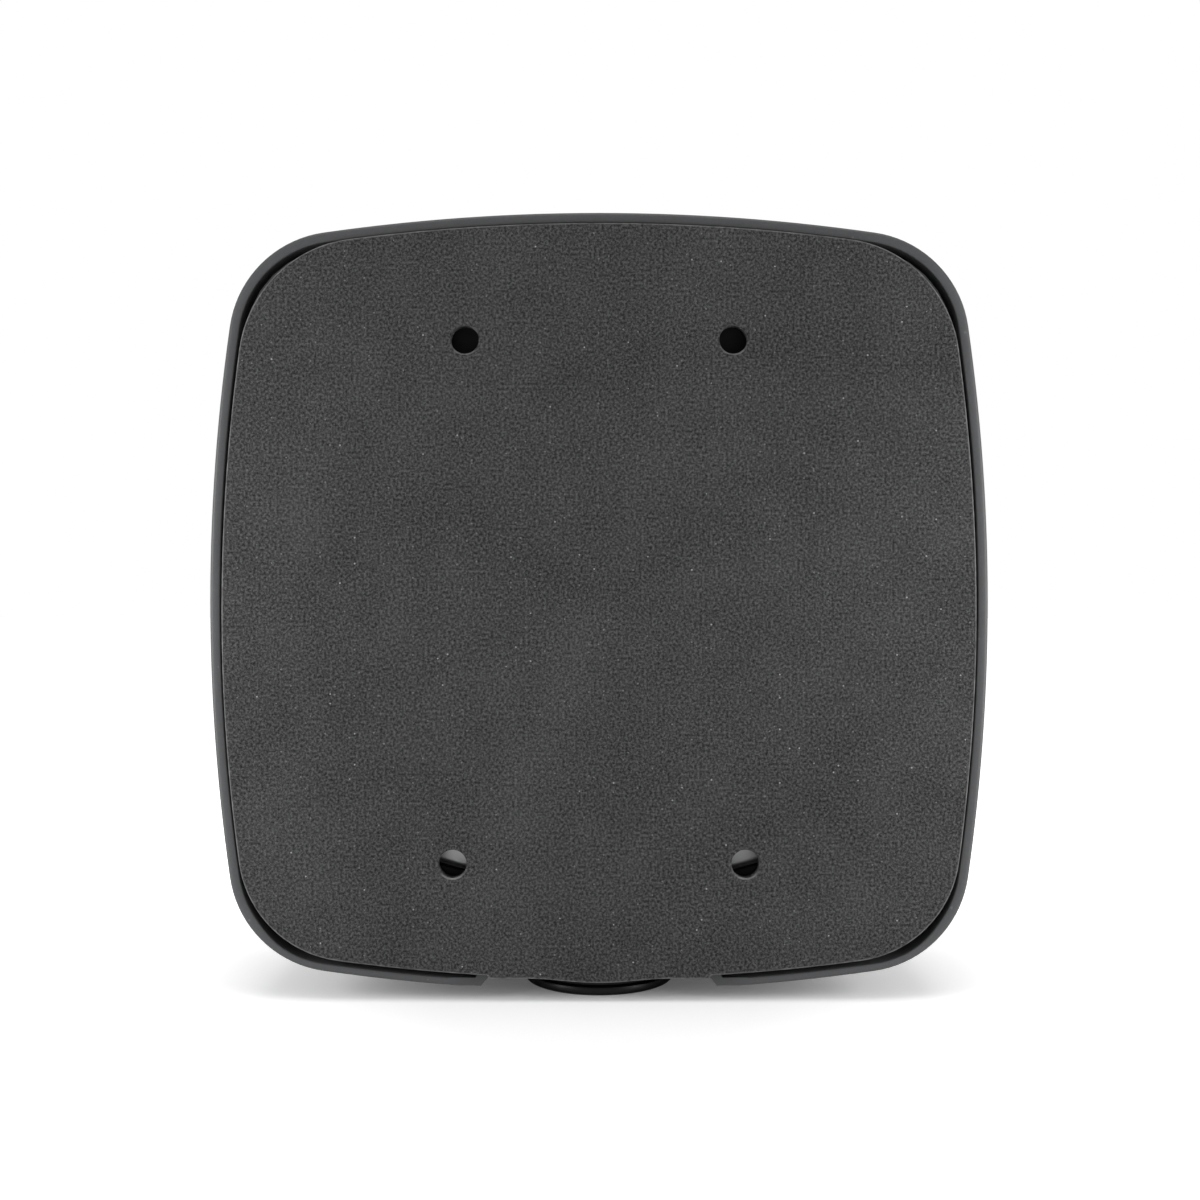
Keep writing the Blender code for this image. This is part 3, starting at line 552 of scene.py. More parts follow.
def shellSection():
    # (inset, depth) points down the outside from the front, round the rim and up the inside
    low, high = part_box("main_shell")
    shell = {
        "wall": 0.0022, "draft": 0.0005, "rim": low.y, "wallDepth": 0.0290,
        "frontEdge": 0.0430, "front": high.y, "edgeInset": 0.0140, "lowPoint": 0.003,
        "rimOuter": 0.00075, "rimInner": 0.00030, "rimTop": 0.012, "curveSteps": 14,
        "thin": 0.00060,
    }
    edge, draft, wall, deep = (shell[key] for key in ("edgeInset", "draft", "wall", "wallDepth"))
    outer = []
    for step in range(shell["curveSteps"] + 1):
        angle = math.pi / 2 * (1 - step / shell["curveSteps"])
        outer.append((edge - (edge - draft) * math.cos(angle),
                      deep + (shell["frontEdge"] - deep) * math.sin(angle)))
    for step in range(1, 4):
        t = step / 4
        outer.append((draft * (1 - t), deep * (1 - t) + shell["lowPoint"] * t))
    rim = shell["rim"]
    r = shell["rimOuter"]
    for step in range(6):
        angle = math.pi / 2 * step / 5
        outer.append((r * (1 - math.cos(angle)), rim + r * (1 - math.sin(angle))))
    s = shell["rimInner"]
    for step in range(4):
        angle = math.pi / 2 * (1 - step / 3)
        outer.append((wall - s * (1 - math.cos(angle)), rim + s * (1 - math.sin(angle))))
    outer.append((wall, shell["rimTop"]))
    outer.append((wall + draft, deep))
    reach = edge - draft - wall
    for step in range(1, 10):
        angle = math.pi / 2 * step / 9
        outer.append((edge - reach * math.cos(angle),
                      deep + (shell["frontEdge"] - wall - deep) * math.sin(angle)))
    return shell, outer


def ringPlaces(verts, moves, inset, depth, thin=0.0):
    # thin narrows the rim along the lower side, where the pad stands further off
    seat = outlineShape["seat"]
    foot = outlineShape["seatHalf"] + near
    thinFrom, thinOver = 0.066, 0.008
    for key, vert in verts.items():
        base, move = moves[key]
        lower = share(-base.z, thinFrom, thinOver)
        place = base + move * (inset - thin * lower * lower * (3 - 2 * lower))
        if place.z < 0 and abs(base.x) <= foot:
            place.z = max(place.z, seat)
        vert.co = (place.x, depth, place.z)


def buildShell():
    shell, section = shellSection()
    shape = outlineShape
    inner, outer = shape["seatHalf"], shape["seatHalf"] + shape["ramp"]
    bm = roundedSquare(half, shape["sideRadius"], (shape["corner"], shape["corner"]),
                       (-outer, -inner, inner, outer))
    bm.verts.index_update()
    inward = inwardOf(bm)
    moves = {v.index: (v.co.copy(), inward[v.index]) for v in bm.verts}
    verts = {v.index: v for v in bm.verts}
    edges = bm.edges[:]
    wallSeat = seatLift(shell["wall"])
    rimStart = section.index((shell["wall"], shell["rimTop"])) - 4
    for number, (inset, depth) in enumerate(section):
        if number:
            pairs, edges = grownRing(bm, edges)
            verts = {key: pairs[v] for key, v in verts.items()}
        innerRim = shell["thin"] if number in range(rimStart, rimStart + 4) else 0.0
        ringPlaces(verts, moves, inset, depth, innerRim)
        if number >= rimStart:
            wallSeat(verts, moves)
        if number == 0:
            front = list(edges), dict(verts)
    backRing = edges, verts
    frontFace(bm, front, shell["frontEdge"], shell["front"])
    frontFace(bm, backRing, shell["frontEdge"] - shell["wall"], shell["front"] - shell["wall"])
    closed(bm)
    whole = carve(bm, innerFeatures(shell) + shellCuts(shell))
    return finished(whole, "housingShell", "shell_plastic", "housing", ("main_shell",), 0.55)


def seatLift(wall):
    # the inner wall steps in over the flat, one wall thickness above it
    shape = outlineShape
    spread = wall * math.tan(math.atan2(seatDepth, shape["ramp"]) / 2)

    def lift(verts, moves):
        for key, vert in verts.items():
            base = moves[key][0]
            if base.z > 0 or abs(base.x) > shape["seatHalf"] + shape["ramp"] + near:
                continue
            if abs(base.x) > shape["seatHalf"] + near:
                vert.co.x += math.copysign(spread, base.x)
            else:
                vert.co.z = max(vert.co.z, shape["seat"] + wall)
                if abs(base.x) > shape["seatHalf"] - near:
                    vert.co.x += math.copysign(spread, base.x)
    return lift


def frontFace(bm, ring, start, end):
    # closes the shell towards the room with a shallow crown
    edges, verts = ring
    steps = 8
    places = {key: v.co.copy() for key, v in verts.items()}
    for step in range(1, steps):
        pairs, edges = grownRing(bm, edges)
        verts = {key: pairs[v] for key, v in verts.items()}
        t = 1 - step / steps
        for key, vert in verts.items():
            place = places[key]
            vert.co = (place.x * t, start + (end - start) * (1 - t * t), place.z * t)
    bmesh.ops.edgeloop_fill(bm, edges=edges)


def ringPlate(outerInset, innerInset, back, front, seatFollows):
    # a flat ring that follows the outline
    shape = outlineShape
    foot = shape["seatHalf"] + 0.001
    loops = []
    for inset, follow in ((outerInset, seatFollows), (innerInset, 0.0)):
        bm = roundedSquare(half - inset, shape["sideRadius"] - inset,
                           (shape["corner"] - inset, shape["corner"] - inset), (-foot, foot))
        if follow:
            for vert in bm.verts:
                if abs(vert.co.x) <= foot + near and vert.co.z < 0:
                    vert.co.z = max(vert.co.z, shape["seat"] + follow)
        loops.append(bm)
    bm = gathered(loops)
    bmesh.ops.triangle_fill(bm, edges=bm.edges[:], use_beauty=True)
    return thickened(bm, back, front)


fitting = {
    "gap": 0.0003, "embed": 0.0008, "ledgeInset": 0.0091, "ledgeEnd": 0.0021,
    "cornerPost": 0.057, "sidePost": 0.014, "post": 0.0034, "postRoot": 0.0007,
    "guide": 0.0038, "guideStart": 0.0004, "guideEnd": 0.0070,
}
postPlaces = [(x * fitting["cornerPost"], z * fitting["cornerPost"])
              for x in (-1, 1) for z in (-1, 1)]
postPlaces += [(side * (half - fitting["sidePost"]), 0.0) for side in (-1, 1)]


def innerFeatures(shell):
    # ledge for the cover's seal, screw posts and the button's guide
    gap = fitting["gap"]
    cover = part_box("back_cover")[1].y
    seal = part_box("cover_seal")[1].y
    embed = shell["wall"] - fitting["embed"]
    ledge = ringPlate(embed, fitting["ledgeInset"], seal + gap, seal + fitting["ledgeEnd"], embed)
    root = shell["frontEdge"] - shell["wall"] + fitting["postRoot"]
    posts = gathered([bar(fitting["post"], (x, cover + gap, z), (x, root, z), 28)
                      for x, z in postPlaces])
    x, y = placeOf("reset_button")[0].xy
    seat = outlineShape["seat"]
    guide = bar(fitting["guide"], (x, y, seat + fitting["guideStart"]),
                (x, y, seat + fitting["guideEnd"]), 32)
    return [("UNION", ledge), ("UNION", posts), ("UNION", guide)]


def shellCuts(shell):
    # rim dip, screw holes, gland hole, button hole and the light pipe's hole
    cuts = {
        "dip": 0.0023, "dipCover": 0.7, "dipSlope": 4.0, "dipHalf": 0.007, "under": 0.002,
        "screw": 0.0014, "screwEnd": 0.0083, "gland": 0.0083, "glandEnd": 0.0045,
        "button": 0.0022, "buttonEnd": 0.009, "light": 0.0018, "lightStart": 0.006,
        "lightEnd": 0.060,
    }
    seat = outlineShape["seat"]
    rim = shell["rim"]
    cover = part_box("back_cover")[1].y
    depth = cuts["dip"] - rim
    inner = outlineShape["seatHalf"] + outlineShape["ramp"] + shell["wall"] * cuts["dipCover"]
    dip = brick((-inner, rim - depth, seat - cuts["dipHalf"]),
                (inner, rim + depth, seat + cuts["dipHalf"]))
    for vert in dip.verts:
        if vert.co.y < rim:
            vert.co.x += math.copysign(2 * depth * cuts["dipSlope"], vert.co.x)
    end = cover + cuts["screwEnd"]
    holes = gathered([bar(cuts["screw"], (x, cover - 0.001, z), (x, end, z), 20)
                      for x, z in postPlaces])
    y = placeOf("gland_gasket")[0].y
    under = seat - cuts["under"]
    way = bar(cuts["gland"], (0, y, under), (0, y, seat + cuts["glandEnd"]), 64)
    x, y = placeOf("reset_button")[0].xy
    button = bar(cuts["button"], (x, y, under), (x, y, seat + cuts["buttonEnd"]), 40)
    z = placeOf("light_pipe")[0].z
    light = bar(cuts["light"], (0, shell["frontEdge"] - cuts["lightStart"], z),
                (0, rim + cuts["lightEnd"], z), 32)
    return [("DIFFERENCE", other) for other in (dip, holes, way, button, light)]


shellPiece = buildShell()
print("shell built:", len(shellPiece.data.polygons), "faces")


screwHoles = [(side * spacing / 2, row) for spacing, row in ((0.055, 0.0537), (0.060, -0.0537))
              for side in (-1, 1)]


def padShape():
    low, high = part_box("wall_pad")
    return {
        "reach": (high.x - low.x) / 2 + 0.00010, "radius": 0.3973, "corners": (0.0262, 0.0235),
        "lean": 0.00035, "leanUp": (-0.015, 0.065), "leanOut": (0.050, 0.020), "rise": 0.0002,
        "tabHalf": 0.0224, "tabFoot": 0.0230, "tabReach": -0.0772, "swell": 0.0009,
        "swellHalf": 0.0150, "hole": 0.00288, "edge": 0.00035, "lip": 0.9, "outerLip": 0.35,
        "back": low.y, "front": high.y,
    }


def buildPad():
    pad = padShape()
    swell = [pad["swellHalf"] * step / 6 for step in range(-6, 7)]
    bm = roundedSquare(pad["reach"], pad["radius"], pad["corners"],
                       [-pad["tabFoot"], -pad["tabHalf"], pad["tabHalf"], pad["tabFoot"]] + swell)
    for vert in bm.verts:
        vert.co.z += pad["rise"]
        across = abs(vert.co.x)
        lean = share(vert.co.z, *pad["leanUp"]) * share(across, *pad["leanOut"])
        vert.co.x -= math.copysign(pad["lean"] * lean, vert.co.x)
        if vert.co.z < 0 and across <= pad["tabHalf"] + near:
            bulge = 0.0
            if across < pad["swellHalf"]:
                bulge = pad["swell"] * (1 + math.cos(math.pi * across / pad["swellHalf"])) / 2
            vert.co.z = pad["tabReach"] - bulge
    for x, z in screwHoles:
        made = bmesh.ops.create_circle(bm, segments=64, radius=pad["hole"])
        bmesh.ops.rotate(bm, verts=made["verts"], cent=(0, 0, 0),
                         matrix=Matrix.Rotation(math.pi / 2, 3, "X"))
        bmesh.ops.translate(bm, verts=made["verts"], vec=(x, 0, z))
    bmesh.ops.triangle_fill(bm, edges=bm.edges[:], use_beauty=True, use_dissolve=True)
    thickened(bm, pad["back"], pad["front"])
    rims = [e for e in bm.edges if len(e.link_faces) == 2 and e.calc_face_angle() > 1.2
            and max(v.co.y for v in e.verts) < pad["front"] * 0.5]
    cut = bmesh.ops.bevel(bm, geom=rims, offset=pad["edge"], segments=4, profile=0.5,
                          affect="EDGES", material=-1)
    # painted highlight: how much lighter colour each face of the rounded edges gets; full where the
    # rounding faces sideways, weaker where it faces the front, and round the holes only on the
    # lower lip
    edgeHighlight = bm.loops.layers.float_color.new("edge")
    rounded = set(cut["faces"])
    for face in bm.faces:
        level = 0.0
        if face in rounded:
            level = 1.0 if abs(face.normal.y) < 0.90 else pad["outerLip"]
            middle = face.calc_center_median()
            for x, z in screwHoles:
                away = math.hypot(middle.x - x, middle.z - z)
                if away < pad["hole"] * 1.5:  # only the lower lip catches the light
                    level = max(0.0, (z - middle.z) / away) ** 2 * pad["lip"]
        for loop in face.loops:
            loop[edgeHighlight] = (level, level, level, 1.0)
    piece = finished(bm, "foamPad", "foam", "wall_mount", ("wall_pad",), 0.7)
    return piece


padPiece = buildPad()
print("pad built:", len(padPiece.data.polygons), "faces")


def glandPlace(node):
    low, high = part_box(node)
    return Vector(((low.x + high.x) / 2, (low.y + high.y) / 2, 0)), low, high


def threaded(radius, start, end, pitch, depth):
    # the outer profile of a thread, from start down to end
    points = []
    turns = int((start - end) / pitch)
    step = (start - end) / turns
    for turn in range(turns):
        top = start - turn * step
        points += [(radius - depth, top - step * 0.05), (radius, top - step * 0.40),
                   (radius, top - step * 0.60), (radius - depth, top - step * 0.95)]
    return points


def buildGland():
    cable, neck, bore = 0.0032, 0.0080, 0.0062
    place, low, high = glandPlace("gland_body")
    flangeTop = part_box("gland_gasket")[0].z - 0.0003
    flange = (high.x - low.x) / 2
    lip = high.z - 0.001
    body = [(cable + 0.0012, high.z), (neck - 0.0006, high.z)]
    body += threaded(neck, high.z - 0.0006, flangeTop + 0.0012, 0.0015, 0.00045)
    body += [(neck - 0.0004, flangeTop), (flange - 0.0008, flangeTop),
             (flange - 0.0002, flangeTop - 0.0002), (flange, flangeTop - 0.0006),
             (flange, low.z + 0.0004), (flange - 0.0001, low.z + 0.0001),
             (flange - 0.0004, low.z), (bore, low.z), (bore, lip), (cable + 0.0012, lip)]
    finished(spun(body, place, 128), "glandBody", "black_plastic", "housing", ("gland_body",))

    place, low, high = glandPlace("gland_gasket")
    ring = (high.x - low.x) / 2
    gasket = softCorners([(neck + 0.0003, high.z), (ring, high.z), (ring, low.z),
                          (neck + 0.0003, low.z)], 0.0004, 4)
    finished(spun(gasket, place, 96), "glandGasket", "seal_rubber", "housing", ("gland_gasket",))

    place, low, high = glandPlace("gland_seal")
    outer = (high.x - low.x) / 2
    seal = [(cable + 0.0002, high.z), (outer - 0.0006, high.z), (outer, high.z - 0.0006),
            (outer, low.z + 0.0006), (outer - 0.0006, low.z), (cable + 0.0002, low.z),
            (cable - 0.0002, low.z + 0.0006)]
    for step in range(3):
        z = low.z + 0.0014 + step * 0.0016
        seal += [(cable - 0.0002, z), (cable + 0.0001, z + 0.0003), (cable + 0.0001, z + 0.0007),
                 (cable - 0.0002, z + 0.0010)]
    seal.append((cable - 0.0002, high.z - 0.0006))
    finished(spun(seal, place, 64), "glandSeal", "seal_rubber", "housing", ("gland_seal",))
    buildNut()
    buildCap()


def buildNut():
    place, low, high = glandPlace("gland_lock_nut")
    radius = (high.x - low.x) / 2
    bm = bar(radius, place + Vector((0, 0, low.z)), place + Vector((0, 0, high.z)), 6)
    bmesh.ops.rotate(bm, verts=bm.verts, cent=place, matrix=Matrix.Rotation(math.pi / 6, 3, "Z"))
    crown = [(0.0, high.z), (radius * 0.88, high.z), (radius * 1.002, high.z - 0.0009),
             (radius * 1.002, low.z + 0.0009), (radius * 0.88, low.z), (0.0, low.z)]
    bore = [(0.0, high.z + 0.001), (0.0088, high.z + 0.001), (0.0088, high.z)]
    bore += [(0.0083, high.z - 0.0005), (0.0083, low.z + 0.0005), (0.0088, low.z),
             (0.0088, low.z - 0.001), (0.0, low.z - 0.001)]
    changes = [("INTERSECT", spun(crown, place, 72)), ("DIFFERENCE", spun(bore, place, 64))]
    finished(carve(bm, changes), "glandLockNut", "black_plastic", "housing",
             ("gland_lock_nut",), 0.5)


def buildCap():
    # the round cap: a disc with a soft lower edge and a threaded sleeve inside the body
    place, low, high = glandPlace("gland_cap")
    rim = (high.x - low.x) / 2
    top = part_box("gland_body")[0].z - 0.0003
    cap = {"sleeve": 0.0059, "bore": 0.0036, "edge": 0.0007, "groove": 0.0119}
    outer = [(cap["bore"] + 0.0003, high.z), (cap["sleeve"] - 0.0003, high.z)]
    outer += threaded(cap["sleeve"], high.z - 0.0003, top + 0.0012, 0.0012, 0.00035)
    outer += [(cap["sleeve"] - 0.0003, top), (rim - 0.0004, top), (rim - 0.0001, top - 0.0001),
              (rim, top - 0.0004)]
    for step in range(6):
        angle = math.pi / 2 * step / 5
        outer.append((rim - cap["edge"] * (1 - math.cos(angle)),
                      low.z + cap["edge"] * (1 - math.sin(angle))))
    groove = cap["groove"]
    outer += [(groove + 0.0003, low.z), (groove + 0.0001, low.z + 0.0003),
              (groove - 0.0001, low.z + 0.0003), (groove - 0.0003, low.z)]
    bore = cap["bore"]
    outer += [(bore + 0.0007, low.z), (bore + 0.0002, low.z + 0.0002), (bore, low.z + 0.0007)]
    blank = spun(outer, place, 160)
    spots = [bar(0.0012, place + Vector((x * 0.0085, 0, low.z - 0.001)),
                 place + Vector((x * 0.0085, 0, low.z + 0.0010)), 32) for x in (-1, 1)]
    whole = carve(blank, [("DIFFERENCE", gathered(spots))])
    finished(whole, "glandCap", "black_plastic", "gland_cap", ("gland_cap",))


buildGland()
print("gland built")

bodyOf = {node: body for body, members in frame["record"]["behaviour"]["bodies"].items()
          for node in members}
slotOf = {part["node"]: part["material_slot"] for part in frame["record"]["subparts"]}


def slab(sink, grow, drop, back, front, edge, segments):
    # a plate with the window's outline, rounded along its wall side; the outline has straight
    # sides, cut corners and a lower edge that runs down to the middle
    side = sink["half"] + grow
    high = sink["top"] + grow
    cut = side - sink["corner"]
    apex = -sink["cornerLow"] - sink["slope"] * sink["half"] - drop
    low = apex + sink["slope"] * side
    foot = apex + sink["slope"] * cut
    right = [(side, low + sink["corner"]), (side, high - sink["corner"]), (cut, high)]
    left = [(-x, z) for x, z in reversed(right)]
    points = right + left + [(-cut, foot), (0.0, apex), (cut, foot)]
    bm = bmesh.new()
    bm.faces.new([bm.verts.new((x, 0.0, z)) for x, z in points])
    thickened(bm, back, front)
    rims = [e for e in bm.edges if max(v.co.y for v in e.verts) < back + 1e-6]
    bmesh.ops.bevel(bm, geom=rims, offset=edge, segments=segments, profile=0.5,
                    affect="EDGES", material=-1)
    return bm


def screwProfile(head, shank, length):
    # countersunk: flat top, cone, thread and a short point
    profile = [(0.0, 0.0), (head - 0.00015, 0.0), (head, -0.00008), (head, -0.0002),
               (shank + 0.0002, -0.0002 - (head - shank) + 0.0002)]
    profile += threaded(shank, -0.0022, -length + 0.0008, 0.0006, 0.00022)
    return profile + [(shank * 0.6, -length), (0.0, -length)]


def buildScrews():
    # the flush screws of the cover and the heat sink, with a cross recess
    screw = {"shank": 0.0011, "slotHalf": 0.00145, "slotWidth": 0.00030, "slotDepth": 0.0011}
    long, wide, deep = screw["slotHalf"], screw["slotWidth"], screw["slotDepth"]
    for node in named("cover_screw", "sink_screw"):
        middle, low, high = placeOf(node)
        place = Vector((middle.x, low.y, middle.z))
        profile = screwProfile((high.x - low.x) / 2, screw["shank"], high.y - low.y)
        cross = [("DIFFERENCE", brick(place - Vector((a, 0.001, b)), place + Vector((a, deep, b))))
                 for a, b in ((long, wide), (wide, long))]
        whole = carve(spun(profile, place, 40, (0, -1, 0)), cross)
        finished(whole, camel(node), "screw_steel", "housing", (node,), 0.5)


def buildSink():
    # cast heat sink: a boss with a soft edge in the window, and its flange and feet behind
    low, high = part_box("heat_sink")
    sink = {
        "half": 0.0500, "top": 0.0450, "cornerLow": 0.0496, "slope": 0.28, "corner": 0.0120,
        "edge": 0.0011, "gap": 0.0003, "flange": 0.0085, "drop": 0.0042, "bore": 0.0014,
        "flangeBack": low.y + 0.0029, "flangeFront": low.y + 0.0049, "post": 0.0051,
    }
    gap, flangeBack, flangeFront = sink["gap"], sink["flangeBack"], sink["flangeFront"]
    boss = slab(sink, -gap, -gap, low.y, flangeBack + gap, sink["edge"], 6)
    flange = slab(sink, sink["flange"], sink["drop"], flangeBack, flangeFront, 0.0004, 3)
    feet = []
    for chip in ("processor_pad", "radio_shield_left_pad", "radio_shield_right_pad"):
        padLow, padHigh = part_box(chip)
        grow = Vector((0.001, 0, 0.001))
        start = Vector((padLow.x, flangeFront - gap, padLow.z)) - grow
        feet.append(brick(start, Vector((padHigh.x, padLow.y - gap, padHigh.z)) + grow, 0.0004, 3))
    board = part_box("main_board")[0].y
    tall = sink["post"]
    post = [(0, tall), (0.0027, tall), (0.0030, tall - 0.0003), (0.0030, 0.0010), (0.0033, 0),
            (0, 0)]
    posts, bores = [], []
    for node in named("board_screw"):
        x, z = placeOf(node)[0].xz
        posts.append(spun(post, (x, board - gap - tall, z), 40, (0, 1, 0)))
        bores.append(bar(sink["bore"], (x, flangeFront + 0.0002, z), (x, board + 0.001, z), 24))
    for node in named("sink_screw"):
        x, z = placeOf(node)[0].xz
        bores.append(bar(sink["bore"], (x, flangeBack - 0.001, z), (x, high.y + 0.01, z), 24))
    changes = [("UNION", flange), ("UNION", gathered(feet)), ("UNION", gathered(posts)),
               ("DIFFERENCE", gathered(bores))]
    finished(carve(boss, changes), "castHeatSink", "cast_metal", "housing", ("heat_sink",), 0.5)


buildSink()
buildScrews()
print("heat sink and screws built")


def roundPiece(node, name, profile, steps):
    # a turned part, whose profile is measured down from its room end
    centre = placeOf(node)[0]
    centre.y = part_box(node)[1].y
    finished(spun(profile, centre, steps, (0, 1, 0)), name, slotOf[node], bodyOf[node], (node,))


def buildRoundParts():
    can = [(0.0, -0.00015), (0.0033, -0.00015), (0.0036, 0.0), (0.0039, -0.0002), (0.0040, -0.0006),
           (0.0040, -0.0076), (0.0039, -0.0078), (0.0036, -0.0080), (0.0036, -0.0083),
           (0.0039, -0.0085), (0.0040, -0.0087), (0.0040, -0.0100), (0.0, -0.0100)]
    for node in named("capacitor"):
        roundPiece(node, "can" + node.title().replace("_", ""), can, 64)
    plug = [(0.0, 0.0), (0.0012, 0.0), (0.0013, -0.0001), (0.0013, -0.0007), (0.0015, -0.0008),
            (0.0016, -0.0010), (0.0016, -0.0021), (0.0015, -0.0022), (0.0, -0.0022)]
    for node in named("coax_plug"):
        roundPiece(node, "aerial" + node.title().replace("_", ""), plug, 40)
    for node in named("board_screw"):
        low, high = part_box(node)
        length = high.y - low.y
        pan = [(0.0, 0.0), (0.0012, 0.0), (0.0021, -0.0003), (0.0025, -0.0009), (0.0025, -0.0015),
               (0.0024, -0.0016), (0.0011, -0.0016)]
        pan += threaded(0.0011, -length + 0.0085, -length + 0.0007, 0.0006, 0.00022)
        pan += [(0.0007, -length), (0.0, -length)]
        roundPiece(node, camel(node), pan, 40)
    low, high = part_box("light_pipe")
    length = high.y - low.y
    collar = high.y - (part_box("antenna_carrier")[0].y - 0.0003)
    pipe = [(0.0, 0.0), (0.0012, -0.00005), (0.0015, -0.0004), (0.0015, -collar),
            (0.0024, -collar), (0.0025, -collar - 0.0001), (0.0025, -collar - 0.0011),
            (0.0024, -collar - 0.0012), (0.0015, -collar - 0.0012), (0.0014, -length), (0, -length)]
    roundPiece("light_pipe", "lightPipe", pipe, 64)


def buildButton():
    # the pin button with its waist for the rubber ring, and a dished face
    middle, low, high = placeOf("reset_button")
    sealMiddle, sealLow, sealHigh = placeOf("button_seal")
    r = (high.x - low.x) / 2
    groove = sealMiddle.z
    pin = [(0.0, high.z), (0.0010, high.z), (0.0012, high.z - 0.0003), (0.0012, groove + 0.0074),
           (0.0014, groove + 0.0072), (r - 0.0002, groove + 0.0072), (r, groove + 0.0070),
           (r, groove + 0.0007), (r - 0.0001, groove + 0.0006), (r - 0.0006, groove + 0.0006),
           (r - 0.0006, groove - 0.0006), (r - 0.0001, groove - 0.0006), (r, groove - 0.0007),
           (r, low.z + 0.0004), (r - 0.0001, low.z + 0.0001), (r - 0.0004, low.z),
           (r * 0.6, low.z + 0.00015), (0.0, low.z + 0.0003)]
    centre = Vector((middle.x, middle.y, 0))
    finished(spun(pin, centre, 72), "resetPin", "button_plastic", "reset_button",
             ("reset_button",))
    inner, outer = r - 0.0005, (sealHigh.x - sealLow.x) / 2
    thick = (sealHigh.z - sealLow.z) / 2
    ring = []
    for step in range(16):
        angle = 2 * math.pi * step / 16
        ring.append(((inner + outer) / 2 + (outer - inner) / 2 * math.cos(angle),
                     groove - thick * math.sin(angle)))
    finished(spun(ring, centre, 64), "resetPinRing", "seal_rubber", "reset_button",
             ("button_seal",), 1.2)


buildRoundParts()
buildButton()
print("round parts built")


def edgedCopy(node, width, segments=2, limit=0.6):
    # the CAD shape with its hard edges rounded
    bm = bmesh.new()
    bm.from_mesh(nodes[node].data)
    closed(bm, 2e-6)
    bmesh.ops.dissolve_limit(bm, angle_limit=0.01, verts=bm.verts, edges=bm.edges)
    hard = [e for e in bm.edges if len(e.link_faces) == 2 and e.calc_face_angle() > limit]
    bmesh.ops.bevel(bm, geom=hard, offset=width, segments=segments, profile=0.5,
                    affect="EDGES", material=-1, clamp_overlap=True)
    bmesh.ops.triangulate(bm, faces=[f for f in bm.faces if len(f.verts) > 4])
    return bm


edgeWidths = {
    "processor": 0.00012, "memory_chip_left": 0.00012, "memory_chip_right": 0.00012,
    "radio_shield_left": 0.00025, "radio_shield_right": 0.00025, "magnetics": 0.00025,
    "processor_pad": 0.00010, "radio_shield_left_pad": 0.00010,
    "radio_shield_right_pad": 0.00010, "power_inductor": 0.00030, "status_led": 0.00010,
    "ethernet_jack": 0.00018, "reset_switch": 0.00015, "main_board": 0.00012,
    "antenna_carrier": 0.00025, "cover_seal": 0.00035, "sink_seal": 0.00025,
    "back_cover": 0.00025, "mount_plate": 0.00030,
    "antenna_top_left": 0.00008, "antenna_top_right": 0.00008,
    "antenna_bottom_left": 0.00008, "antenna_bottom_right": 0.00008,
}
for node, width in edgeWidths.items():
    finished(edgedCopy(node, width), camel(node) + "Piece", slotOf[node], bodyOf[node], (node,))
print("boxy parts built")


def buildContacts():
    # eight gold wires that lean into the jack's mouth
    contact = {"pitch": 0.00102, "half": 0.00020, "thick": 0.00025, "reach": 0.0080,
               "back": 0.0041, "start": 0.0020, "lean": 0.22}
    middle, low = placeOf("ethernet_jack")[:2]
    back = middle.y - contact["back"]
    start = low.z + contact["start"]
    wires = []
    for number in range(8):
        x = middle.x + (number - 3.5) * contact["pitch"]
        wire = brick((x - contact["half"], back, start),
                     (x + contact["half"], back + contact["thick"], start + contact["reach"]),
                     0.00005, 2)
        for vert in wire.verts:
            vert.co.y += (vert.co.z - start) * contact["lean"]
        wires.append(wire)
    piece = finished(gathered(wires), "jackContacts", "tinned_steel", "housing")
    piece.data.materials[0] = gold


buildContacts()
for node, piece in nodes.items():
    piece.data.materials.clear()
    piece.data.materials.append(finishes[slotOf[node]])
print("remaining parts painted")


stage = {
    "floorSize": 6.0, "floorTint": 0.80, "floorSeen": 0.95, "nearGlow": 0.08,
    "whiteFrom": 0.088, "whiteAt": 0.195, "sky": 0.223, "sideLevel": 0.49, "topLevel": 3.4,
    "sidePlace": (0.24, -0.105, 0.010), "sideAim": 0.05, "sideSize": (0.14, 0.14),
    "topPlace": (0.0, -0.14, 0.75), "topSize": (0.7, 0.5),
    "camera": (0.0002, -0.2890, 0.00035), "lens": 42.37,
}


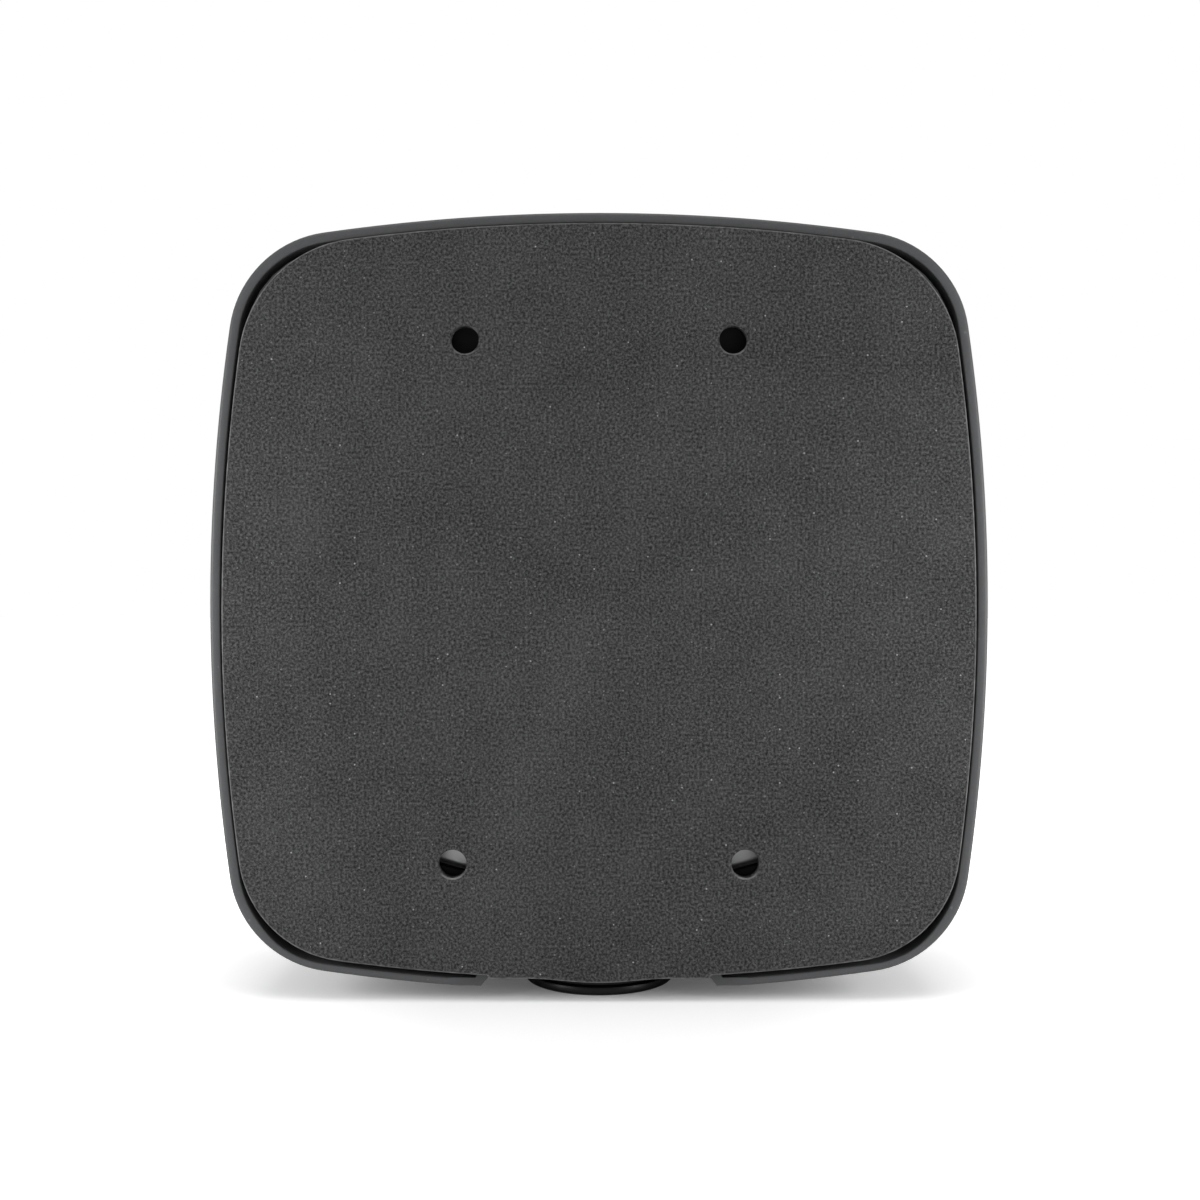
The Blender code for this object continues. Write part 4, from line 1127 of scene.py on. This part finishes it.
def floorMaterial():
    # white floor: it keeps the shadow near the object and is plain white further out
    made = Finish("floorWhite", {}, closing="Material Output")
    made.tree.nodes.remove(made.tree.nodes["Principled BSDF"])
    camera = made.node("ShaderNodeLightPath", {}, {}, "Is Camera Ray")
    plain, seen = (made.node("ShaderNodeBsdfDiffuse", {}, {"Color": (*grey(stage[tint]), 1.0)})
                   for tint in ("floorTint", "floorSeen"))
    pick = made.node("ShaderNodeMixShader", {}, {0: camera, 1: plain, 2: seen})
    away = made.node("ShaderNodeVectorMath", {"operation": "LENGTH"}, {0: made.place}, "Value")
    far = made.ranged(away, stage["whiteFrom"], stage["whiteAt"], stage["nearGlow"])
    glow = made.node("ShaderNodeEmission", {}, {"Strength": camera * far})
    made.feed("Surface", made.node("ShaderNodeAddShader", {}, {0: pick, 1: glow}))
    return made.owner


def buildFloor():
    bm = bmesh.new()
    bmesh.ops.create_grid(bm, x_segments=2, y_segments=2, size=stage["floorSize"])
    bmesh.ops.translate(bm, vec=(0, 0, cadLow.z), verts=bm.verts)
    floor = linked(bm, "floor")
    floor.data.materials.append(floorMaterial())


def buildWorld():
    # even white light, and plain white wherever the camera sees past the floor
    studio = Finish("studio", {"Color": (1, 1, 1, 1)}, bpy.data.worlds, "Background")
    direct, through = (studio.node("ShaderNodeLightPath", {}, {}, ray)
                       for ray in ("Is Camera Ray", "Is Transmission Ray"))
    studio.feed("Strength", studio.ranged(direct.atLeast(through), 0.0, 1.0, stage["sky"]))
    bpy.context.scene.world = studio.owner


def softbox(name, place, target, size, power):
    light = bpy.data.lights.new(name, "AREA")
    light.shape = "RECTANGLE"
    light.size, light.size_y = size
    light.energy = power
    lamp = placed(name, light)
    lamp.location = place
    lamp.visible_camera = False
    lamp.rotation_euler = (Vector(target) - Vector(place)).to_track_quat("-Z", "Y").to_euler()


def buildLight():
    out, back, up = stage["sidePlace"]
    for name, side in (("leftBox", -1), ("rightBox", 1)):
        softbox(name, (side * out, back, up), (side * stage["sideAim"], 0, 0),
                stage["sideSize"], stage["sideLevel"])
    softbox("topBox", stage["topPlace"], (0, 0, 0), stage["topSize"], stage["topLevel"])


def buildCamera():
    data = bpy.data.cameras.new("camera")
    data.lens = stage["lens"]
    data.sensor_width = 36.0
    data.clip_start = 0.01
    camera = placed("camera", data)
    camera.location = stage["camera"]
    camera.rotation_euler = (math.pi / 2, 0, 0)
    bpy.context.scene.camera = camera


buildFloor()
buildWorld()
buildLight()
buildCamera()
bpy.context.scene.view_settings.view_transform = "Standard"
print("stage, light and camera set")
